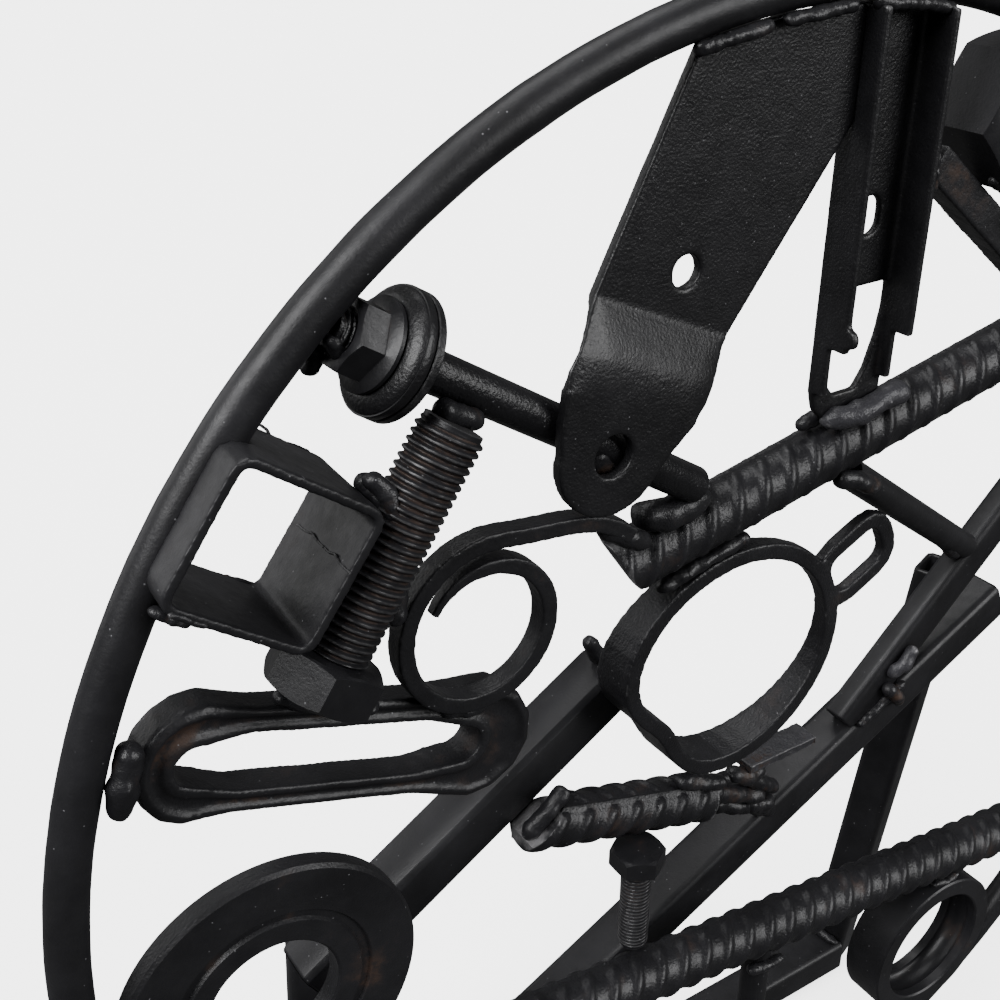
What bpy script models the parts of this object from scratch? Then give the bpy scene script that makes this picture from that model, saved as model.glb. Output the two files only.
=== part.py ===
"""Openwork disc of welded scrap steel on two square-tube legs and a low base. Metres, +Z up, front to -Y."""

import math

import bmesh
import bpy
from mathutils import Matrix, Vector

# Gap that touching pieces keep where a weld joins them
GAP = 0.0003
TOUCH = 0.0001

# Hoop of round bar that frames the disc
HOOP_RADIUS = 0.2627
HOOP_BAR = 0.0127
HOOP_FACETS = 72

# Stock that the disc is filled with
REBAR_CORE = 0.0205
REBAR_RIB = 0.0007
RIB_SPACING = 0.0118
ROD_DIAMETER = 0.0125
STRUT_DIAMETER = 0.012
FRAME_TUBE = 0.020
FRAME_WALL = 0.002
FRAME_FRONT = 0.0223

# Main rebar across the upper half of the disc
MAIN_REBAR_END = (-0.0700, 0.0080, 0.0835)
MAIN_REBAR_RISE = math.radians(11.6)

# Stud with its nut and two washers, from the hoop down to the main rebar
STUD_AT_HOOP = math.radians(131.6)
STUD_HEADING = math.radians(-32.5)
STUD_THREAD = 0.0210
STUD_LENGTH = 0.1500
STUD_PITCH = 0.00175
THREAD_DEPTH = 0.0010
NUT_FLATS = 0.0190
NUT_HEIGHT = 0.0112
NUT_FROM_HOOP = 0.0035
NUT_FLANGE = 0.0270
NUT_FLANGE_THICKNESS = 0.0030
WASHER_DIAMETER = 0.0370
WASHER_THICKNESS = 0.0026
DISH_HEIGHT = 0.0058

# Fully threaded hex bolt under the stud
BOLT_DIAMETER = 0.0200
BOLT_PITCH = 0.0025
BOLT_THREAD_DEPTH = 0.0014
BOLT_LENGTH = 0.0715
BOLT_HEAD_FLATS = 0.0300
BOLT_HEAD_HEIGHT = 0.0125
BOLT_ALONG_STUD = 0.0420
BOLT_BELOW_STUD = 0.0034
BOLT_HEADING = math.radians(56.2)
BOLT_TURN = math.radians(26.0)
BOLT_DEPTH = -0.0100

# Slice of rectangular tube between the bolt and the hoop
SLICE_WIDTH = 0.0485
SLICE_HEIGHT = 0.0445
SLICE_WALL = 0.0030
SLICE_CORNER = 0.0055
SLICE_DEPTH = 0.0410
SLICE_SKEW = 0.10
SLICE_MIDDLE_Y = 0.0005
SLICE_HEADING = math.radians(54.0)
SLICE_FROM_TIP = 0.0482
SLICE_FROM_BOLT = 0.0352

# Joggled strap that hangs from the top of the hoop in front of the stud
STRAP_THICKNESS = 0.0042
STRAP_HOLE = (-0.0855, 0.1368)
STRAP_END_RADIUS = 0.0198
STRAP_LEAN = math.radians(24.0)
# Rise above the lower hole, with the reach to the left and to the right edge
STRAP_PAD = (
    (0.0000, 0.0213, 0.0205),
    (0.0060, 0.0233, 0.0228),
    (0.0140, 0.0255, 0.0267),
    (0.0210, 0.0267, 0.0297),
    (0.0265, 0.0253, 0.0303),
)
STRAP_CREASE_RISE = 0.0425
STRAP_CREASE_LEFT = 0.0215
STRAP_CREASE_RIGHT = 0.0345
STRAP_UPPER_FRONT = -0.0020
STRAP_SHOULDER = 0.0040
STRAP_LEFT_LEAN = math.radians(27.0)
STRAP_RIGHT_LEAN = math.radians(37.0)
STRAP_HOLE_DIAMETER = 0.0140
STRAP_UPPER_HOLE = 0.0105
STRAP_UPPER_HOLE_AT = (-0.0546, 0.1853)

# Forged scroll between the main rebar and the chain link
SCROLL_CENTRE = (-0.1272, 0.0880)
SCROLL_OUTER = 0.0300
SCROLL_INNER = 0.0195
SCROLL_START = math.radians(79.0)
SCROLL_TURN = math.radians(431.0)
SCROLL_STEPS = 40
SCROLL_BAR = 0.0056
SCROLL_DEPTH = 0.0076
SCROLL_TIP = 0.0024
SCROLL_TAPERED = 0.20
SCROLL_TAIL_END = (-0.0725, 0.1035)
SCROLL_TAIL_HEADING = math.radians(-42.0)

# Forged chain link
LINK_FROM_HOOP = 0.0768
LINK_HEIGHT = 0.0585
LINK_TILT = math.radians(-18.7)
LINK_LENGTH = 0.1340
LINK_SLOT_HEIGHT = 0.0185
LINK_ARM = 0.0080
LINK_SHOULDER = 0.0130
LINK_LEFT_END = 0.0110
LINK_RIGHT_END = 0.0200
LINK_END_SLOT = 0.0125
LINK_DEPTH = 0.0120
LINK_MIDDLE_Y = 0.0040
LINK_GROOVE = 0.0016

# Cast collar with a small ear, under the main rebar
COLLAR_CENTRE = (-0.0160, 0.0283)
COLLAR_HALF_WIDTH = 0.0524
COLLAR_HALF_HEIGHT = 0.0485
COLLAR_FLAT = 0.24
COLLAR_FLAT_AT = math.radians(214.0)
COLLAR_FLAT_SPREAD = 0.55
COLLAR_WALL = 0.0065
COLLAR_FRONT = 0.0020
COLLAR_DEEP = 0.0200
COLLAR_SHALLOW = 0.0060
COLLAR_SHALLOW_AT = math.radians(40.0)
EAR_FROM_CENTRE = 0.0648
EAR_AT = math.radians(22.9)
EAR_TILT = math.radians(26.0)
EAR_SLOT_LENGTH = 0.0255
EAR_SLOT_WIDTH = 0.0170
EAR_WALL = 0.0068
EAR_DEPTH = 0.0050

# Pressed channel bracket between the main rebar and the top of the hoop, open to the front
CHANNEL_LEFT = 0.0085
CHANNEL_WIDTH = 0.0332
CHANNEL_THICKNESS = 0.0030
CHANNEL_BACK = 0.0055
CHANNEL_FLANGE = 0.0145
CHANNEL_LOW_FLANGE = 0.0072
CHANNEL_FLANGE_STEP = 0.1475
CHANNEL_BOTTOM = 0.1160
CHANNEL_CORNER = 0.0140
CHANNEL_SLOT_BOTTOM = 0.1270
CHANNEL_SLOT_TOP = 0.1645
CHANNEL_SLOT_FOOT = (0.0190, 0.0290)
CHANNEL_HOLE = (0.0090, 0.0130)
CHANNEL_HOLE_AT = (0.0255, 0.1885)
CHANNEL_NUB = (0.0040, 0.0075)
CHANNEL_NUB_AT = 0.1530

# Square tubes behind the disc
LEFT_BRACE_TOP = (-0.0498, 0.0200)
LEFT_BRACE_RISE = math.radians(31.6)
LEFT_BRACE_LENGTH = 0.1520
LONG_BRACE_POINT = (0.0875, -0.0600)
LONG_BRACE_RISE = math.radians(27.0)
LONG_BRACE_LEFT = 0.3000
LONG_BRACE_RIGHT = 0.0920
OFFCUT_HEIGHT = 0.0180
OFFCUT_DEPTH = 0.0115
OFFCUT_FOOT = -0.0051
OFFCUT_ABOVE = 0.0115
OFFCUT_RISE = math.radians(43.5)
OFFCUT_LENGTH = 0.1680
STRUT_TOP = (0.0370, 0.0080, 0.0905)
STRUT_END = (0.1530, 0.0290, 0.0085)
SHIM_CENTRE = (0.0250, -0.0360)
SHIM_LENGTH = 0.0360
SHIM_WIDTH = 0.0120
SHIM_THICKNESS = 0.0040

# Short rebar under the collar
SHORT_REBAR_CORE = 0.0185
SHORT_REBAR_END = (-0.0120, 0.0160, -0.0440)
SHORT_REBAR_FALL = math.radians(-17.0)
SHORT_REBAR_LENGTH = 0.0900

# Plainer scrap that fills the rest of the disc
LOWER_REBAR_LEFT = math.radians(198.0)
LOWER_REBAR_RIGHT = math.radians(326.0)
TIE_BEFORE_NUT = 0.0238
TIE_FROM_NUT = 0.0043
TIE_HEADING = math.radians(-38.0)
TIE_SECTION = (0.0120, 0.0100)
BEARING_RADIUS = 0.0285
BEARING_WALL = 0.0075
BEARING_DEPTH = 0.0170
LARGE_NUT_FLATS = 0.0460
LARGE_NUT_BORE = 0.0265
LARGE_NUT_HEIGHT = 0.0240
LARGE_NUT_AT = math.radians(68.5)
RIGHT_PIPE_RADIUS = 0.0340
RIGHT_PIPE_DEPTH = 0.0360
PIPE_WALL = 0.0035
FLANGE_RADIUS = 0.0500
FLANGE_THICKNESS = 0.0080
FLANGE_BORE = 0.0220
LEFT_PIPE_RADIUS = 0.0450
LEFT_PIPE_DEPTH = 0.0300
LOWER_BEARING_RADIUS = 0.0380
SMALL_BOLT_DIAMETER = 0.0120
SMALL_BOLT_FLATS = 0.0190
SMALL_BOLT_HEAD = 0.0080
SECOND_LINK_AT = math.radians(-8.5)
SECOND_LINK_TILT = math.radians(81.0)
FOOT_STRUT_X = 0.0120

# Legs and base
LEG_NEAR_EDGE = 0.1600
LEG_TURN = math.radians(20.0)
LEG_SPLAY = 0.113
LEG_TOP_RIGHT = -0.0150
LEG_TOP_LEFT = -0.0620
BASE_END_GAP = 0.0014

PI = math.pi
X = Vector((1, 0, 0))
Y = Vector((0, 1, 0))
Z = Vector((0, 0, 1))
HUB_HEIGHT = FRAME_TUBE + GAP + HOOP_BAR / 2 + HOOP_RADIUS
HOOP_INSIDE = (HOOP_RADIUS - HOOP_BAR / 2) * math.cos(PI / HOOP_FACETS) - GAP
REBAR_REACH = REBAR_CORE / 2 + REBAR_RIB
FRAME_MIDDLE = FRAME_FRONT + FRAME_TUBE / 2


def clear_scene():
    for obj in list(bpy.data.objects):
        bpy.data.objects.remove(obj)


def steel(name, shade, roughness):
    """Blackened steel: a Principled BSDF of one grey, with its roughness."""
    material = bpy.data.materials.new(name)
    material.use_nodes = True
    shader = material.node_tree.nodes["Principled BSDF"]
    shader.inputs["Base Color"].default_value = (shade, shade, shade * 1.04, 1)
    shader.inputs["Roughness"].default_value = roughness
    shader.inputs["Metallic"].default_value = 0.85
    return material


def heading(angle):
    """Unit vector in the plane of the disc, at an angle from +X towards +Z."""
    return Vector((math.cos(angle), 0, math.sin(angle)))


def in_disc(point, y=0.0):
    return Vector((point[0], y, point[1]))


def loft(loops, ring=False):
    """Skin over loops that have as many points each. The ends are capped, or joined where it is a ring."""
    bm = bmesh.new()
    rows = [[bm.verts.new(point) for point in loop] for loop in loops]
    count = len(rows[0])
    pairs = list(zip(rows, rows[1:]))
    if ring:
        pairs.append((rows[-1], rows[0]))
    for low, high in pairs:
        for i in range(count):
            j = (i + 1) % count
            bm.faces.new((low[i], low[j], high[j], high[i]))
    if not ring:
        bm.faces.new(rows[0][::-1])
        bm.faces.new(rows[-1])
    return bm


def circle(radius, height, sides, phase=0.0):
    """Loop of points round +Z at one height."""
    steps = [phase + 2 * PI * i / sides for i in range(sides)]
    return [Vector((radius * math.cos(a), radius * math.sin(a), height)) for a in steps]


def hexagon(flats, height):
    """Hexagon of 12 points: its corners and the middles of its sides."""
    loop = []
    for i in range(12):
        reach = flats / 2 if i % 2 else flats / 2 / math.cos(PI / 6)
        loop += [Vector((reach * math.cos(PI * i / 6), reach * math.sin(PI * i / 6), height))]
    return loop


def rounded_box(width, height, corner, steps):
    """Outline of a rectangle with round corners, as (x, y) pairs anticlockwise."""
    outline = []
    for quarter in range(4):
        sx = 1 if quarter in (0, 3) else -1
        sy = 1 if quarter in (0, 1) else -1
        for step in range(steps + 1):
            a = PI / 2 * (quarter + step / steps)
            outline += [
                (
                    sx * (width / 2 - corner) + corner * math.cos(a),
                    sy * (height / 2 - corner) + corner * math.sin(a),
                )
            ]
    return outline


def make(name, bm, shade=0.045, roughness=0.5, at=(0, 0, 0), turn=None, sharp=35):
    """Object from a bmesh, with its origin at a place in the disc, smooth but for its sharp edges."""
    bmesh.ops.recalc_face_normals(bm, faces=bm.faces)
    mesh = bpy.data.meshes.new(name)
    bm.to_mesh(mesh)
    bm.free()
    mesh.shade_smooth()
    mesh.set_sharp_from_angle(angle=math.radians(sharp))
    mesh.materials.append(steel(name, shade, roughness))
    obj = bpy.data.objects.new(name, mesh)
    bpy.context.scene.collection.objects.link(obj)
    obj.parent = bpy.data.objects["disc_centre"]
    obj.location = at
    if turn is not None:
        obj.rotation_euler = turn.to_euler()
    return obj


def along(direction, side=Y):
    """Rotation that takes +Z to a direction and +Y as near as can be to a side."""
    z = direction.normalized()
    x = side.cross(z).normalized()
    return Matrix((x, z.cross(x), z)).transposed()


def cutter(name, bm, at=(0, 0, 0), turn=None):
    obj = make(name, bm, at=at, turn=turn)
    obj.hide_render = True
    obj.display_type = "WIRE"
    return obj


def apply_boolean(obj, other, operation):
    modifier = obj.modifiers.new(other.name, "BOOLEAN")
    modifier.operation = operation
    modifier.solver = "EXACT"
    modifier.object = other


def cope(obj, *neighbours):
    """Cuts each neighbour out of an object, with the gap all round."""
    for neighbour in neighbours:
        bm = bmesh.new()
        bm.from_mesh(neighbour.data)
        bm.normal_update()
        moves = [vert.normal * vert.calc_shell_factor() * GAP for vert in bm.verts]
        for vert, move in zip(bm.verts, moves):
            vert.co += move
        turn = neighbour.rotation_euler.to_matrix()
        name = obj.name + "_less_" + neighbour.name
        apply_boolean(obj, cutter(name, bm, neighbour.location, turn), "DIFFERENCE")


def box(width, depth, height):
    """Box round the origin."""
    bm = bmesh.new()
    bmesh.ops.create_cube(bm, size=1, matrix=Matrix.Diagonal((width, depth, height, 1)))
    return bm


def rod(radius, length, sides=12):
    return loft([circle(radius, 0, sides), circle(radius, length, sides)])


def pipe(radius, wall, depth, sides):
    """Slice of round pipe, its axis along +Z and its middle at the origin."""
    inner = radius - wall
    low, high = -depth / 2, depth / 2
    loops = [
        circle(radius, low, sides),
        circle(radius, high, sides),
        circle(inner, high, sides),
        circle(inner, low, sides),
    ]
    return loft(loops, ring=True)


def box_tube(width, depth, length, wall=FRAME_WALL):
    """Open-ended rectangular tube from the origin up +Z."""
    outer = rounded_box(width, depth, wall, 1)
    inner = rounded_box(width - 2 * wall, depth - 2 * wall, wall / 2, 1)
    loops = [
        [Vector((x, y, z)) for x, y in outline]
        for outline, z in ((outer, 0), (outer, length), (inner, length), (inner, 0))
    ]
    return loft(loops, ring=True)


def plate(outline, thickness):
    """Plate with an outline in X and Z, its front at y = 0."""
    loops = [[Vector((x, y, z)) for x, z in outline] for y in (0, thickness)]
    return loft(loops)


def ribbed(core, rib, spacing, length, sides=10):
    """Reinforcing bar up +Z, with a ridge all round at each spacing."""
    half = spacing * 0.22
    loops = [circle(core / 2, 0, sides)]
    centre = spacing / 2
    while centre + half < length:
        loops += [
            circle(core / 2, centre - half, sides),
            circle(core / 2 + rib, centre, sides),
            circle(core / 2, centre + half, sides),
        ]
        centre += spacing
    loops += [circle(core / 2, length, sides)]
    return loft(loops)


def threaded(diameter, depth, pitch, start, end, sides=12):
    """Loops of a threaded stretch from start to end, as a ridge for each pitch."""
    loops = []
    count = int((end - start) / pitch + 0.5)
    step = (end - start) / count
    for i in range(count):
        loops += [
            circle(diameter / 2 - depth, start + i * step, sides),
            circle(diameter / 2, start + (i + 0.5) * step, sides),
        ]
    return loops


def bolt(diameter, depth, pitch, length, flats, head):
    """Hex bolt up +Z: its tip at the origin, its head at the top, threaded up to the head."""
    loops = [circle(diameter / 2 - depth * 1.3, 0, 12)]
    loops += threaded(diameter, depth, pitch, pitch / 2, length - pitch / 2)
    loops += [
        circle(diameter / 2 - depth, length, 12),
        hexagon(flats * 0.93, length),
        hexagon(flats, length + head * 0.08),
        hexagon(flats, length + head * 0.9),
        hexagon(flats * 0.94, length + head),
    ]
    return loft(loops)


def hoop():
    """Round bar bent to a ring in the plane of the disc."""
    loops = []
    for i in range(HOOP_FACETS):
        out = heading(2 * PI * i / HOOP_FACETS)
        bar = circle(HOOP_BAR / 2, 0, 8)
        loops += [[out * (HOOP_RADIUS + point.x) + Y * point.y for point in bar]]
    return make("hoop", loft(loops, ring=True), 0.05, 0.55, sharp=60)


def trim_to_hoop(obj):
    """Ends an object along the inner side of the hoop."""
    radius = HOOP_INSIDE / math.cos(PI / HOOP_FACETS)
    disc = loft([circle(radius, y, HOOP_FACETS) for y in (-0.1, 0.1)])
    name = obj.name + "_inside_hoop"
    apply_boolean(obj, cutter(name, disc, turn=Matrix.Rotation(PI / 2, 3, "X")), "INTERSECT")


def trim_side(obj, point, angle, side):
    """Cuts off what lies to one side of a plane through a point of the disc: 1 is left of its heading."""
    middle = point + heading(angle + PI / 2) * side * 0.2
    block = cutter(obj.name + "_trim", box(0.8, 0.3, 0.4), middle, Matrix.Rotation(-angle, 3, "Y"))
    apply_boolean(obj, block, "DIFFERENCE")


def reach_to_hoop(start, direction, half_width):
    """Length of a bar of this half width from a point of the disc to the inner side of the hoop."""
    flat = Vector((start.x, 0, start.z))
    way = Vector((direction.x, 0, direction.z)).normalized()
    ahead = flat.dot(way)
    aside = (flat - way * ahead).length + half_width
    return math.sqrt(HOOP_INSIDE**2 - aside**2) - ahead


def pocket(point, direction, reach, radius, side, way):
    """Middle of a round piece that touches the hoop and one side of a bar."""
    normal = Vector((-direction.z, 0, direction.x)) * side
    offset = point.dot(normal) + reach + radius + GAP
    out = HOOP_INSIDE - radius
    return normal * offset + direction * way * math.sqrt(out**2 - offset**2)


def ring_in_pocket(name, bm, centre, shade, roughness):
    """Round piece with its axis along the depth of the disc."""
    return make(name, bm, shade, roughness, centre, along(-Y, Z))


def build_rebars():
    start = Vector(MAIN_REBAR_END)
    rise = heading(MAIN_REBAR_RISE)
    length = reach_to_hoop(start, rise, REBAR_REACH)
    bar = ribbed(REBAR_CORE, REBAR_RIB, RIB_SPACING, length)
    main_bar = make("main_rebar", bar, 0.05, 0.45, start, along(rise))
    left = heading(LOWER_REBAR_LEFT) * HOOP_INSIDE
    way = (heading(LOWER_REBAR_RIGHT) * HOOP_INSIDE - left).normalized()
    middle = left - way * left.dot(way)
    half = math.sqrt(HOOP_INSIDE**2 - (middle.length + REBAR_REACH) ** 2)
    bar = rod(REBAR_REACH, 2 * half)
    lower = make("lower_rebar", bar, 0.05, 0.45, middle - way * half, along(way))
    return main_bar, lower


def build_stud():
    """Stud, flange nut, dished washer and flat washer on one axis."""
    start = heading(STUD_AT_HOOP) * (HOOP_INSIDE + GAP)
    way = heading(STUD_HEADING)
    turn = along(way)
    loops = [circle(ROD_DIAMETER / 2 - THREAD_DEPTH * 1.2, 0, 12)]
    loops += threaded(ROD_DIAMETER, THREAD_DEPTH, STUD_PITCH, STUD_PITCH / 2, STUD_THREAD)
    for height in (STUD_THREAD + STUD_PITCH / 2, STUD_LENGTH):
        loops += [circle(ROD_DIAMETER / 2, height, 12)]
    stud = make("stud_rod", loft(loops), 0.04, 0.5, start, turn)
    bore = ROD_DIAMETER / 2 + GAP
    low = NUT_FROM_HOOP
    high = low + NUT_HEIGHT
    loops = [
        circle(bore, low, 12),
        hexagon(NUT_FLATS * 0.9, low),
        hexagon(NUT_FLATS, low + NUT_HEIGHT * 0.1),
        hexagon(NUT_FLATS, high - NUT_FLANGE_THICKNESS),
        circle(NUT_FLANGE / 2, high - NUT_FLANGE_THICKNESS / 2, 12),
        circle(NUT_FLANGE / 2, high, 12),
        circle(bore, high, 12),
    ]
    nut = make("flange_nut", loft(loops, ring=True), 0.06, 0.4, start, turn)
    low = high + GAP
    rim = low + DISH_HEIGHT
    radius = WASHER_DIAMETER / 2
    loops = [
        circle(bore, low, 24),
        circle(radius * 0.62, low, 24),
        circle(radius * 0.86, low + DISH_HEIGHT * 0.28, 24),
        circle(radius, rim - WASHER_THICKNESS, 24),
        circle(radius, rim, 24),
        circle(bore, rim, 24),
    ]
    make("dished_washer", loft(loops, ring=True), 0.05, 0.5, start, turn)
    middle = rim + GAP + WASHER_THICKNESS / 2
    flat = pipe(radius, radius - bore, WASHER_THICKNESS, 24)
    make("flat_washer", flat, 0.05, 0.5, start + way * middle, turn)
    return stud, start, way, nut


def build_bolt(stud_start, stud_way):
    """Bolt with its tip under the stud, and the tube slice beside it."""
    below = Vector((stud_way.z, 0, -stud_way.x))
    tip = stud_start + stud_way * BOLT_ALONG_STUD + below * (ROD_DIAMETER / 2 + BOLT_BELOW_STUD)
    tip.y = BOLT_DEPTH
    way = -heading(BOLT_HEADING)
    thread = (BOLT_DIAMETER, BOLT_THREAD_DEPTH, BOLT_PITCH)
    body = bolt(*thread, BOLT_LENGTH, BOLT_HEAD_FLATS, BOLT_HEAD_HEIGHT)
    make("hex_bolt", body, 0.05, 0.35, tip, along(way) @ Matrix.Rotation(BOLT_TURN, 3, "Z"))
    left = heading(BOLT_HEADING + PI / 2)
    middle = Vector((tip.x, SLICE_MIDDLE_Y, tip.z)) + way * SLICE_FROM_TIP + left * SLICE_FROM_BOLT
    up = heading(SLICE_HEADING)
    aside = heading(SLICE_HEADING - PI / 2)
    outer = rounded_box(SLICE_WIDTH, SLICE_HEIGHT, SLICE_CORNER, 3)
    inside = (SLICE_WIDTH - 2 * SLICE_WALL, SLICE_HEIGHT - 2 * SLICE_WALL)
    inner = rounded_box(*inside, SLICE_CORNER - SLICE_WALL, 3)
    half = SLICE_DEPTH / 2
    loops = []
    for outline, y in ((outer, -half), (outer, half), (inner, half), (inner, -half)):
        loops += [[aside * (x + y * SLICE_SKEW) + up * z + Y * y for x, z in outline]]
    tube_slice = make("tube_slice", loft(loops, ring=True), 0.05, 0.5, middle)
    # Its back stops at the inner side of the hoop
    ring = pipe(HOOP_RADIUS + SLICE_WIDTH, SLICE_WIDTH + HOOP_BAR / 2 + GAP, SLICE_DEPTH, HOOP_FACETS)
    behind = cutter("behind_hoop", ring, Y * (SLICE_DEPTH / 2), along(-Y, Z))
    apply_boolean(tube_slice, behind, "DIFFERENCE")
    return tube_slice


def build_strap():
    """Strap of one thickness: a pad with a round end, a joggle back, and a widening upper part."""
    front = -(ROD_DIAMETER / 2) - GAP - STRAP_THICKNESS
    hole = in_disc(STRAP_HOLE, front)
    up = heading(PI / 2 - STRAP_LEAN)
    across = heading(-STRAP_LEAN)
    radius = STRAP_END_RADIUS
    steps = 7
    edges = []
    for i in range(steps):
        a = PI / 2 * (i + 0.4) / steps
        low = hole - up * radius * math.cos(a)
        reach = across * radius * math.sin(a)
        edges += [(low - reach, low + reach)]
    for rise, left, right in STRAP_PAD:
        edges += [(hole + up * rise - across * left, hole + up * rise + across * right)]
    crease = hole + up * STRAP_CREASE_RISE
    crease.y = STRAP_UPPER_FRONT
    left = crease - across * STRAP_CREASE_LEFT
    right = crease + across * STRAP_CREASE_RIGHT
    edges += [(left, right)]
    left_way = heading(PI / 2 - STRAP_LEFT_LEAN)
    right_way = heading(PI / 2 - STRAP_RIGHT_LEAN)
    edges += [(left + left_way * STRAP_SHOULDER, right + right_way * STRAP_SHOULDER)]
    left_top = left + left_way * (reach_to_hoop(left, left_way, 0) + HOOP_BAR)
    right_top = right + right_way * (reach_to_hoop(right, right_way, 0) + HOOP_BAR)
    edges += [(left_top, right_top)]
    back = Y * STRAP_THICKNESS
    body = loft([[a, b, b + back, a + back] for a, b in edges])
    strap = make("strap_bracket", body, 0.04, 0.4, sharp=25)
    lower = rod(STRAP_HOLE_DIAMETER / 2, STRAP_THICKNESS * 4, 20)
    lower_at = hole - Y * STRAP_THICKNESS * 2
    apply_boolean(strap, cutter("strap_hole", lower, lower_at, along(Y)), "DIFFERENCE")
    upper = rod(STRAP_UPPER_HOLE / 2, STRAP_THICKNESS * 4, 16)
    upper_at = in_disc(STRAP_UPPER_HOLE_AT, STRAP_UPPER_FRONT - STRAP_THICKNESS)
    apply_boolean(strap, cutter("strap_upper_hole", upper, upper_at, along(Y)), "DIFFERENCE")
    trim_side(strap, in_disc((CHANNEL_LEFT - GAP, 0)), PI / 2, -1)
    trim_to_hoop(strap)


def bezier(p0, p1, p2, p3, steps):
    """Points along a cubic curve, without its first."""
    points = []
    for i in range(1, steps + 1):
        t = i / steps
        s = 1 - t
        points += [p0 * s**3 + p1 * 3 * s * s * t + p2 * 3 * s * t * t + p3 * t**3]
    return points


def scroll_path():
    """Middle line of the scroll, from its tip to the end of its tail."""
    middle = in_disc(SCROLL_CENTRE)
    points = []
    for i in range(SCROLL_STEPS + 1):
        t = 1 - i / SCROLL_STEPS
        radius = SCROLL_OUTER + (SCROLL_INNER - SCROLL_OUTER) * t
        points += [middle + heading(SCROLL_START + SCROLL_TURN * t) * radius]
    end = in_disc(SCROLL_TAIL_END)
    out = heading(SCROLL_START - PI / 2)
    reach = (end - points[-1]).length * 0.4
    before_end = end - heading(SCROLL_TAIL_HEADING) * reach
    points += bezier(points[-1], points[-1] + out * reach, before_end, end, 7)
    return points


def build_scroll(main_bar):
    front = -(ROD_DIAMETER / 2)
    points = scroll_path()
    loops = []
    for i, point in enumerate(points):
        before = points[max(i - 1, 0)]
        after = points[min(i + 1, len(points) - 1)]
        way = (after - before).normalized()
        side = Vector((-way.z, 0, way.x))
        taper = min(1.0, i / (SCROLL_STEPS * SCROLL_TAPERED))
        half = (SCROLL_TIP + (SCROLL_BAR - SCROLL_TIP) * taper) / 2
        depth = SCROLL_DEPTH * (0.55 + 0.45 * taper)
        near = point + Y * (front + (SCROLL_DEPTH - depth) / 2)
        far = near + Y * depth
        loops += [[near - side * half, near + side * half, far + side * half, far - side * half]]
    scroll = make("scroll", loft(loops), 0.04, 0.5, sharp=40)
    cope(scroll, main_bar)
    return scroll


def link_mesh():
    """Forged link: a long ring with swollen ends and a groove round its front."""
    loops = []
    straight = (LINK_LENGTH - LINK_LEFT_END - LINK_RIGHT_END - LINK_END_SLOT) / 2
    shift = (LINK_LEFT_END - LINK_RIGHT_END) / 2
    stations = []
    for end in (1, -1):
        for i in range(9):
            a = PI * (i / 8 - 0.5) + (0 if end > 0 else PI)
            stations += [(Vector((shift + end * straight, 0, 0)), a, end)]
        for side in (end, -end):
            at = Vector((shift + side * straight * 0.66, 0, 0))
            stations += [(at, PI / 2 * end, 0)]
    for middle, a, end in stations:
        out = Vector((math.cos(a), 0, math.sin(a)))
        swell = {1: LINK_RIGHT_END, -1: LINK_LEFT_END, 0: LINK_ARM}[end]
        pointing = abs(math.cos(a)) if end else 0
        wall = LINK_SHOULDER + (swell - LINK_SHOULDER) * pointing if end else LINK_ARM
        radius = LINK_END_SLOT / 2 if end else LINK_SLOT_HEIGHT / 2
        near = middle + out * radius
        far = middle + out * (radius + wall)
        lip = min(wall * 0.28, 0.003)
        half = LINK_DEPTH / 2 * (1 if end == 0 else 1.12)
        floor = half - LINK_GROOVE
        loops += [
            [
                near - Y * half,
                near + out * lip - Y * half,
                (near + out * lip * 1.6) - Y * floor,
                (far - out * lip * 1.6) - Y * floor,
                far - out * lip - Y * half,
                far - Y * half * 0.8,
                far + Y * half * 0.8,
                far - out * lip + Y * half,
                near + out * lip + Y * half,
                near + Y * half,
            ]
        ]
    return loft(loops, ring=True)


def build_links(lower_bar):
    left = -math.sqrt(HOOP_INSIDE**2 - LINK_HEIGHT**2)
    at = in_disc((left + LINK_FROM_HOOP, LINK_HEIGHT), LINK_MIDDLE_Y)
    link = make("chain_link", link_mesh(), 0.045, 0.5, at, Matrix.Rotation(-LINK_TILT, 3, "Y"), sharp=30)
    trim_to_hoop(link)
    reach = LINK_END_SLOT / 2 + LINK_SHOULDER
    at = heading(SECOND_LINK_AT) * (HOOP_INSIDE - reach - 0.0085)
    turn = Matrix.Rotation(-SECOND_LINK_TILT, 3, "Y")
    second = make("second_link", link_mesh(), 0.045, 0.5, at, turn, sharp=30)
    trim_to_hoop(second)
    cope(second, lower_bar)
    return link


def collar_point(a, wall):
    """Point of the collar, this far inside its outline, which is an ellipse with one side pressed flat."""
    away = math.remainder(a - COLLAR_FLAT_AT, 2 * PI) / COLLAR_FLAT_SPREAD
    share = 1 - COLLAR_FLAT * math.exp(-away * away)
    across = COLLAR_HALF_WIDTH * share - wall
    up = COLLAR_HALF_HEIGHT * share - wall
    return Vector((math.cos(a) * across, 0, math.sin(a) * up))


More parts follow.
